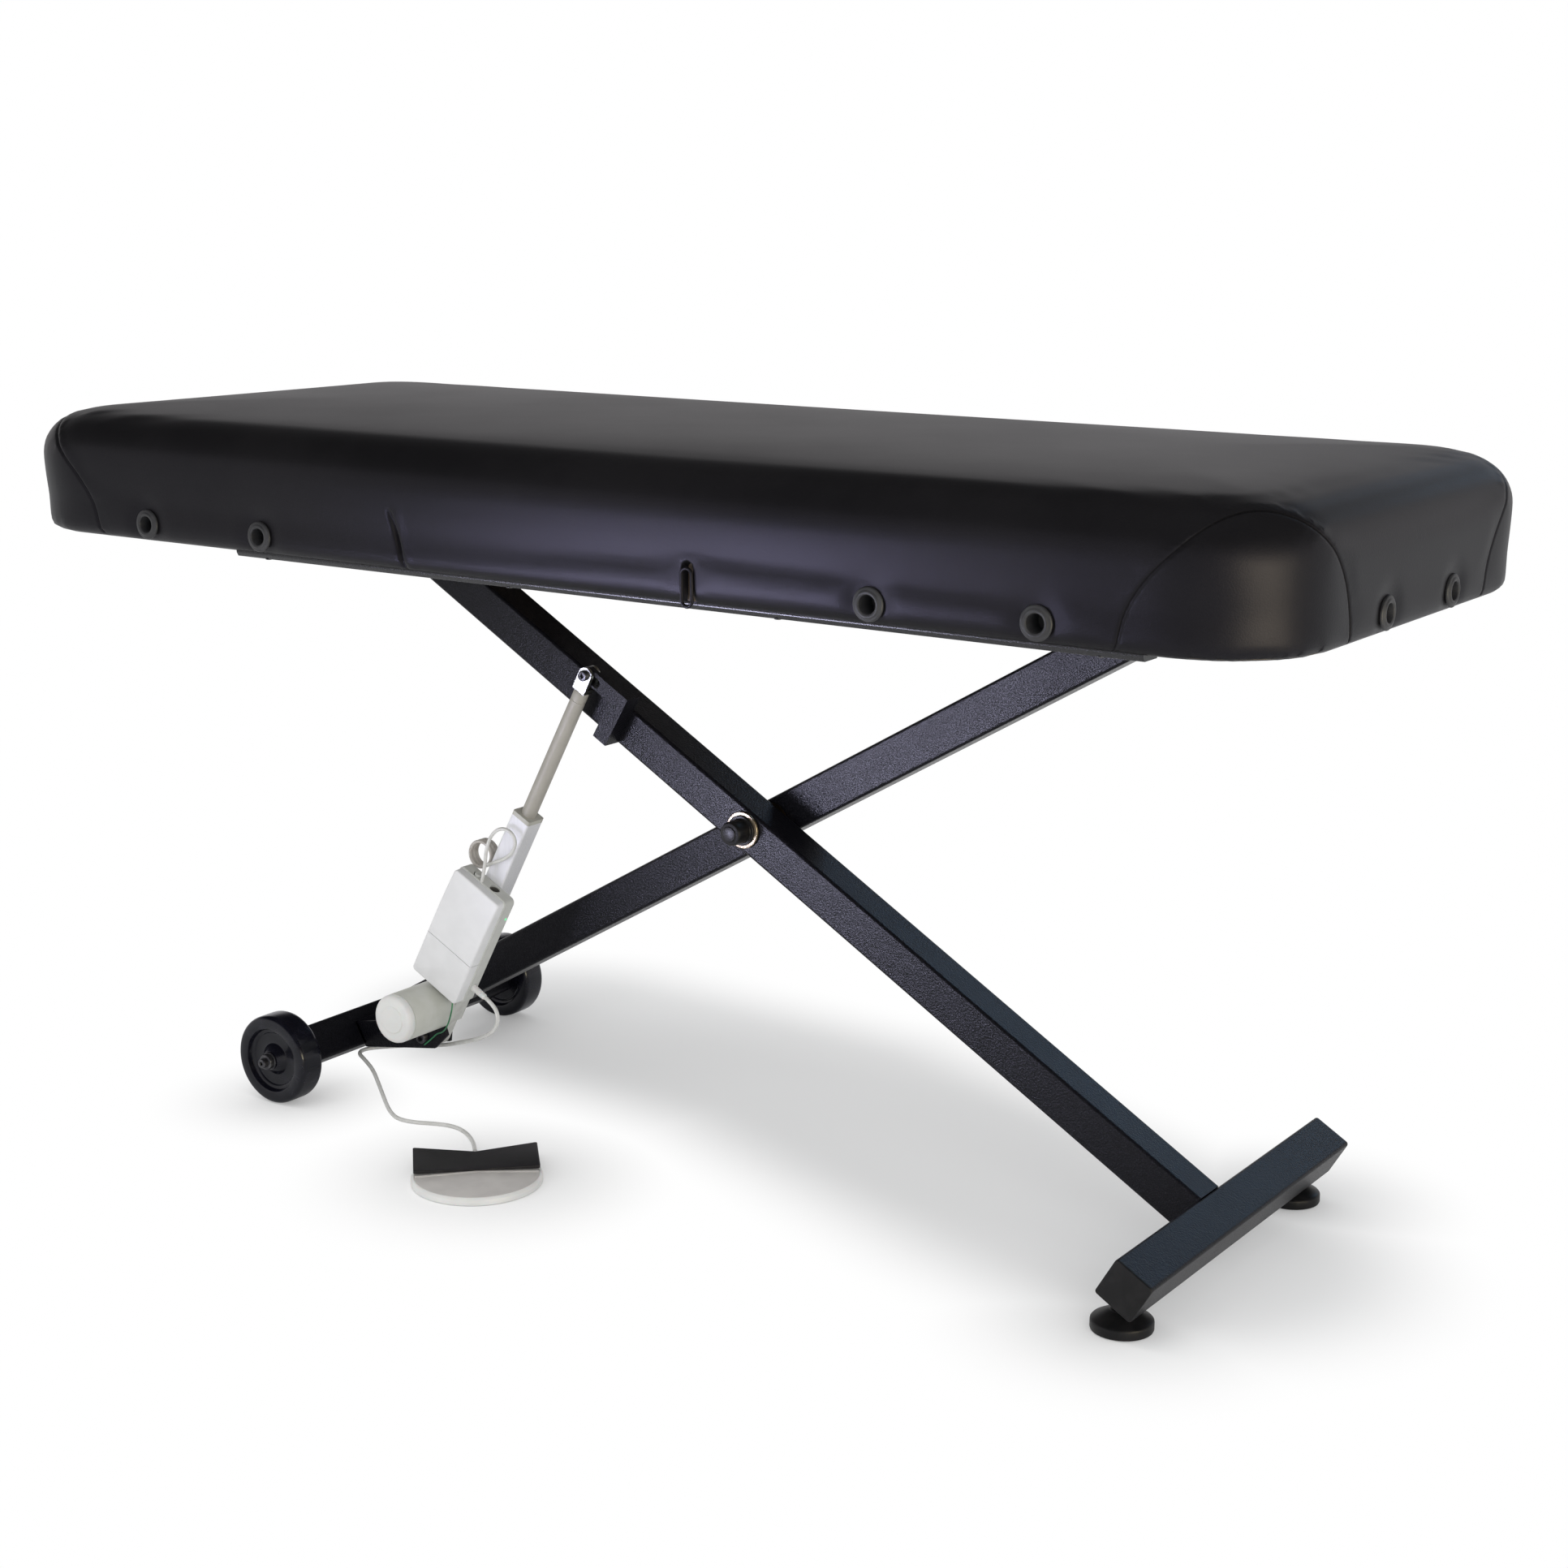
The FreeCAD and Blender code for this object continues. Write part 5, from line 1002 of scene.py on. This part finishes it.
furnish(joined("pin_holders", parts), dark_moulding, "actuator", "grey_plastic")
plug = turned("motor_plug", plug_profile, 40)
seat(plug, on_actuator(socket_top, socket_y, plug_across), up_tube)
furnish(plug, grey_moulding, "actuator", "grey_plastic", "socket_plug")
lamp_dome = turned("lamp_dome", [(0, 0.9), (0.8, 0.8), (1.5, 0.45), (1.9, -0.1), (2.0, -1.4), (0, -1.4)], 24)
seat(lamp_dome, lamp_place, right_of_tube)
green_glow, shader, spot = new_finish("green_glow", Emission_Strength=0.9, Roughness=0.25)
heart = noise(spot, 500.0, 1.0)
feed(shader, Base_Color=heart.blend((0.10, 0.50, 0.22, 1.0), (0.16, 0.62, 0.30, 1.0)),
     Emission_Color=heart.blend((0.10, 0.75, 0.28, 1.0), (0.20, 0.90, 0.40, 1.0)))
furnish(lamp_dome, green_glow, "actuator", "lamp_green", "status_lamp")
boot_profile = [(0, -1.5), (5.2, -1.5), (5.2, 1.6), (4.7, 2.1), (4.5, 2.6), (4.4, 8.6)]
for rib in range(3):
    low, out = 9.0 + 3.2 * rib, 4.5 - 0.15 * rib
    boot_profile += [(out, low), (out, low + 1.6), (out - 0.55, low + 2.0), (out - 0.55, low + 2.8)]
boot_profile += [(4.05, 18.6), (4.05, 20.6), (3.7, 21.4), (3.0, 22.0), (0, 22.0)]
boot = turned("cable_boot", boot_profile, 36)
seat(boot, boot_place, right_of_tube)
furnish(boot, pale_moulding, "actuator", "grey_plastic", "strain_relief")

# Footswitch: a grey moulded disc in a pale rim, with a raised bow-tie step, and on it a satin black
# rocker that is pressed either way. Its cable enters through a gland at the back.
switch_centre, switch_turn = Vector((-0.161, -0.302, 0.0)), math.radians(42.7)
switch_frame = Matrix.Translation(switch_centre) @ Matrix.Rotation(switch_turn, 4, "Z")
wing, front, back, waist = 0.078, -0.006, 0.074, 0.009
step_inset, step_low, step_high, step_radius, soft_edge = 0.0015, 0.0060, 0.0120, 0.0785, 0.0008
rocker_low, rocker_high, wing_top_rise, wing_foot_rise, wing_corner = 0.0124, 0.0145, 0.0055, 0.0028, 0.0030
wing_from, steepest, gland_out, gland_level = 0.07, 0.006, 0.0815, 0.00475


def bow_tie(name, inset, low, high):
    """A block with the rocker's waisted plan, drawn in by the inset, in the footswitch's own frame."""
    near, far = front + inset, back - inset
    piece = block(name, (inset - wing, near, low), (wing - inset, far, high))
    editing(piece)
    bpy.ops.mesh.select_all(action="SELECT")
    bpy.ops.mesh.bisect(plane_co=(0.0, 0.0, 0.0), plane_no=(1.0, 0.0, 0.0))
    for edge_y, draw in ((near, waist), (far, -waist)):
        pick("verts", lambda end: abs(end.co.x) < touch and abs(end.co.y - edge_y) < touch)
        bpy.ops.transform.translate(value=(0.0, draw, 0.0))
    edited()
    return piece


def lay_on_floor(piece):
    settle(piece, switch_frame)
    smooth(piece, 35.0)


disc = turned("switch_disc", [(0, 1.0), (76.9, 1.0), (76.9, 9.1), (76.4, 9.5), (0, 9.5)], 120)
rim = turned("switch_rim", [
    (77, 0.05), (80.6, 0.05), (81.5, 0.9), (81.5, 6.6), (81.2, 7.2), (79.2, 9.3), (78.4, 9.7), (77.6, 9.7),
    (77, 9.2), (77, 0.05),
], 120)
lay_on_floor(rim)
gland = turned("gland", [(0, -3), (4.2, -3), (4.2, 3.6), (3.6, 4.6), (3.4, 6.0), (0, 6.0)], 24)
settle(gland, Matrix.Translation((0.0, gland_out, gland_level)) @ Matrix.Rotation(-math.pi / 2, 4, "X"))
step = bow_tie("switch_step", step_inset, step_low, step_high)
editing(step)
pick("edges", lambda edge: all(end.co.z > step_high - touch for end in edge.verts)
     and abs(middle(edge).y - (front + back) / 2) > touch)
bpy.ops.mesh.bevel(offset=soft_edge, segments=2, affect="EDGES")
edited()
carve(step, borer(120, step_radius, 5 * step_high, (0.0, 0.0, 0.0)), "INTERSECT")
switch_base = joined("switch_base", [disc, gland, step])
lay_on_floor(switch_base)
warm_grey = mottled("warm_grey", (0.48, 0.46, 0.445), (0.53, 0.51, 0.49), 40.0, (0.45, 0.6), 1000.0, 0.12,
                    detail=4.0, Specular_IOR_Level=0.4)
furnish(switch_base, warm_grey, "axle", "grey_plastic", "footswitch_base")
furnish(rim, pale_moulding, "axle", "grey_plastic")

rocker = bow_tie("switch_rocker", 0.0, rocker_low, rocker_high)
editing(rocker)
for high, rise in ((True, wing_top_rise), (False, wing_foot_rise)):
    pick("verts", lambda end: abs(end.co.x) > wing_from
         and (end.co.z > (rocker_low + rocker_high) / 2) == high)
    bpy.ops.transform.translate(value=(0.0, 0.0, rise))
pick("edges", lambda edge: all(abs(end.co.x) > wing_from for end in edge.verts)
     and abs(edge.verts[0].co.z - edge.verts[1].co.z) > (rocker_high - rocker_low) / 2)
bpy.ops.mesh.bevel(offset=wing_corner, segments=4, affect="EDGES")
pick("edges", lambda edge: len(edge.link_faces) == 2 and edge.calc_face_angle() > math.radians(60)
     and abs(edge.verts[0].co.z - edge.verts[1].co.z) < steepest)
bpy.ops.mesh.bevel(offset=soft_edge, segments=3, affect="EDGES")
edited()
lay_on_floor(rocker)
satin_black = mottled("satin_black", (0.0105, 0.0095, 0.0115), (0.016, 0.015, 0.017), 60.0, (0.42, 0.55),
                      1500.0, 0.15, low=0.35, Specular_IOR_Level=0.25)
furnish(rocker, satin_black, "rocker", "black_plastic", "footswitch_rocker")


# Cables: light grey round leads, extruded over their wires. The switch's lead leaves the strain relief,
# runs behind the tail bracket and along the floor to the footswitch.
def lay_cord(name, points, diameter, finish):
    """One round cord along a smooth line through its route's points."""
    curve = bpy.data.curves.new(name, "CURVE")
    curve.dimensions = "3D"
    curve.bevel_depth = diameter / 2
    curve.bevel_resolution = 5
    curve.resolution_u = 8
    curve.use_fill_caps = True
    spline = curve.splines.new("NURBS")
    spline.points.add(len(points) - 1)
    for knot, point in zip(spline.points, points):
        knot.co = (*point, 1.0)
    spline.order_u = 3
    spline.use_endpoint_u = True
    curve.materials.append(finish)
    cord = bpy.data.objects.new(name, curve)
    bpy.context.scene.collection.objects.link(cord)
    return cord


def bending_cord(name, points, diameter, finish):
    """A cord as a mesh tube, and the points of its own middle line."""
    bare = lay_cord(name + "_line", points, 0.0, finish)
    bpy.context.view_layer.update()
    line = bpy.data.meshes.new_from_object(bare.evaluated_get(bpy.context.evaluated_depsgraph_get()))
    middle_line = [vertex.co.copy() for vertex in line.vertices]
    bpy.data.objects.remove(bare)
    only(lay_cord(name, points, diameter, finish))
    bpy.ops.object.convert(target="MESH")
    return bpy.context.object, middle_line


def cable_skin(name, dark, pale):
    return mottled(name, dark, pale, 90.0, (0.38, 0.5), 900.0, 0.08, Specular_IOR_Level=0.45)


def fit_cord(cord, node, slot, **measures):
    """Hides the node that the cord stands for. Its slot and its measures are not used."""
    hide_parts(node)


def by_axle(x, y, z):
    return axle + Vector((x, y, z)) / 1000


def by_tail_pin(x, y, z):
    return tail_pin + Vector((x, y, z)) / 1000


def by_switch(x, y, z):
    return switch_centre + Vector((x, y, z)) / 1000


pale_lead = cable_skin("pale_lead", (0.60, 0.595, 0.57), (0.68, 0.675, 0.655))
switch_lead = 0.0054
join = by_axle(47, -72.5, -20)
upper_route = [
    on_actuator(122, -25, 65), on_actuator(122, -25, 83), by_tail_pin(137.5, -25, 53),
    by_tail_pin(128, -23, 33), by_tail_pin(98, -17, 15.5), by_tail_pin(53, -7, -1.5),
    by_tail_pin(0, 25, -24.5), by_axle(99, -55, -13), by_axle(65, -58, -19), join,
]
upper_lead, upper_line = bending_cord("switch_lead_upper", upper_route, switch_lead, pale_lead)
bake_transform(upper_lead)
fit_cord(upper_lead, "switch_cable_upper", "grey_cable", exit=upper_route[0], length=0.3093,
         diameter=switch_lead, lay="hanging", path=upper_line)

gland_way = Vector((-math.sin(switch_turn), math.cos(switch_turn), 0.0))
gland_lift = Vector((0.0, 0.0, gland_level))
gland_mouth, gland_inside = 0.1055, 0.0875
floor_route = [
    join, by_axle(27.2, -88.45, -21.1), by_axle(28, -112, -21), by_axle(53, -124, -23.5),
    by_axle(79, -136, -29), by_axle(105, -153.5, -38), by_axle(132, -172.5, -47),
    by_axle(158, -190.5, -54.4), by_switch(-225, 99.5, 2.9), by_switch(-197, 103, 2.9),
    by_switch(-173, 115, 2.9), by_switch(-148, 122, 2.9), by_switch(-122, 116, 2.9), by_switch(-94, 98, 3.6),
    switch_centre + gland_way * gland_mouth + gland_lift,
    switch_centre + gland_way * gland_inside + gland_lift,
]
floor_lead, floor_line = bending_cord("switch_lead_floor", floor_route, switch_lead, pale_lead)
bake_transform(floor_lead)
fit_cord(floor_lead, "switch_cable_floor", "grey_cable", exit=join, length=0.4169, diameter=switch_lead,
         lay="loose", path=floor_line)

# Motor's lead: a grey round cable from the box's plug in an open loop, then a coil of spare turns and the run
# down beside the tube to the gearbox, both coloured a darker taupe than the loop.
motor_lead = 0.0046
coil_along, coil_y, coil_across, coil_turn, coil_climb = 281.5, -12, -37.5, 17.0, 6.2 / (2 * math.pi)
coil_start, coil_end, coil_steps, tail_straight = math.radians(38.0), math.radians(1080.0), 42, 0.030
taupe_lead = cable_skin("taupe_lead", (0.43, 0.40, 0.365), (0.52, 0.49, 0.455))


def coil_place(angle):
    return on_actuator(coil_along - coil_turn * math.sin(angle), coil_y + coil_climb * (angle - coil_start),
                       coil_across + coil_turn * math.cos(angle))


def coil_heading(angle):
    ahead = on_actuator(-coil_turn * math.cos(angle), coil_climb, -coil_turn * math.sin(angle)) - tail_pin
    return ahead.normalized()


lead_in = coil_place(coil_start) - coil_heading(coil_start) * motor_lead
lead_out = coil_place(coil_end) + coil_heading(coil_end) * motor_lead
turns = [coil_place(coil_start + (coil_end - coil_start) * i / coil_steps) for i in range(coil_steps + 1)]
coil = lay_cord("motor_lead_coil", [lead_in] + turns + [lead_out], motor_lead, taupe_lead)
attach(coil, "actuator")
fit_cord(coil, "motor_cable_coil", "grey_cable", exit=lead_in, length=0.3189, diameter=motor_lead,
         lay="coiled")

loop_route = [
    on_actuator(266, -32.5, -5), on_actuator(286, -32, -9.5), on_actuator(308, -31, -19),
    on_actuator(329, -30, -21.5), on_actuator(346, -28.5, -14.5), on_actuator(352, -26.5, 1),
    on_actuator(343, -25, 14.5), on_actuator(326, -23.5, 15), on_actuator(308, -22.5, 6),
    on_actuator(291, -21.5, -8.5), lead_in,
]
loop = lay_cord("motor_lead_loop", loop_route, motor_lead, pale_lead)
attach(loop, "actuator")
fit_cord(loop, "motor_cable_loop", "grey_cable", exit=loop_route[0], length=0.1952,
         diameter=motor_lead, lay="loose")

tail_route = [
    lead_out, lead_out + coil_heading(coil_end) * tail_straight, on_actuator(208, 4, -20.6),
    on_actuator(158, 1, -20), on_actuator(118, 0, -18.9), on_actuator(92, 0, -18.9),
]
tail = lay_cord("motor_lead_tail", tail_route, motor_lead, taupe_lead)
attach(tail, "actuator")
fit_cord(tail, "motor_cable_tail", "grey_cable", exit=lead_out, length=0.1852, diameter=motor_lead,
         lay="taut")

# Earth wire: a thin green insulated wire that leaves the box's lower end, bows out round the motor can and
# ends at the tail bracket.
earth_lead = 0.002
green_lead = cable_skin("green_lead", (0.02, 0.15, 0.06), (0.030, 0.21, 0.085))
earth_route = [
    on_actuator(95.5, -36, 26), on_actuator(87, -39, 33), on_actuator(76, -42, 38), on_actuator(60, -42, 40),
    on_actuator(41, -36, 34.5), on_actuator(25, -27, 21), on_actuator(7, -23.5, 14),
    on_actuator(-9, -21.2, 6.5),
]
earth = lay_cord("earth_lead", earth_route, earth_lead, green_lead)
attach(earth, "actuator")
fit_cord(earth, "earth_wire", "green_wire", exit=earth_route[0], length=0.1199, diameter=earth_lead,
         lay="loose")
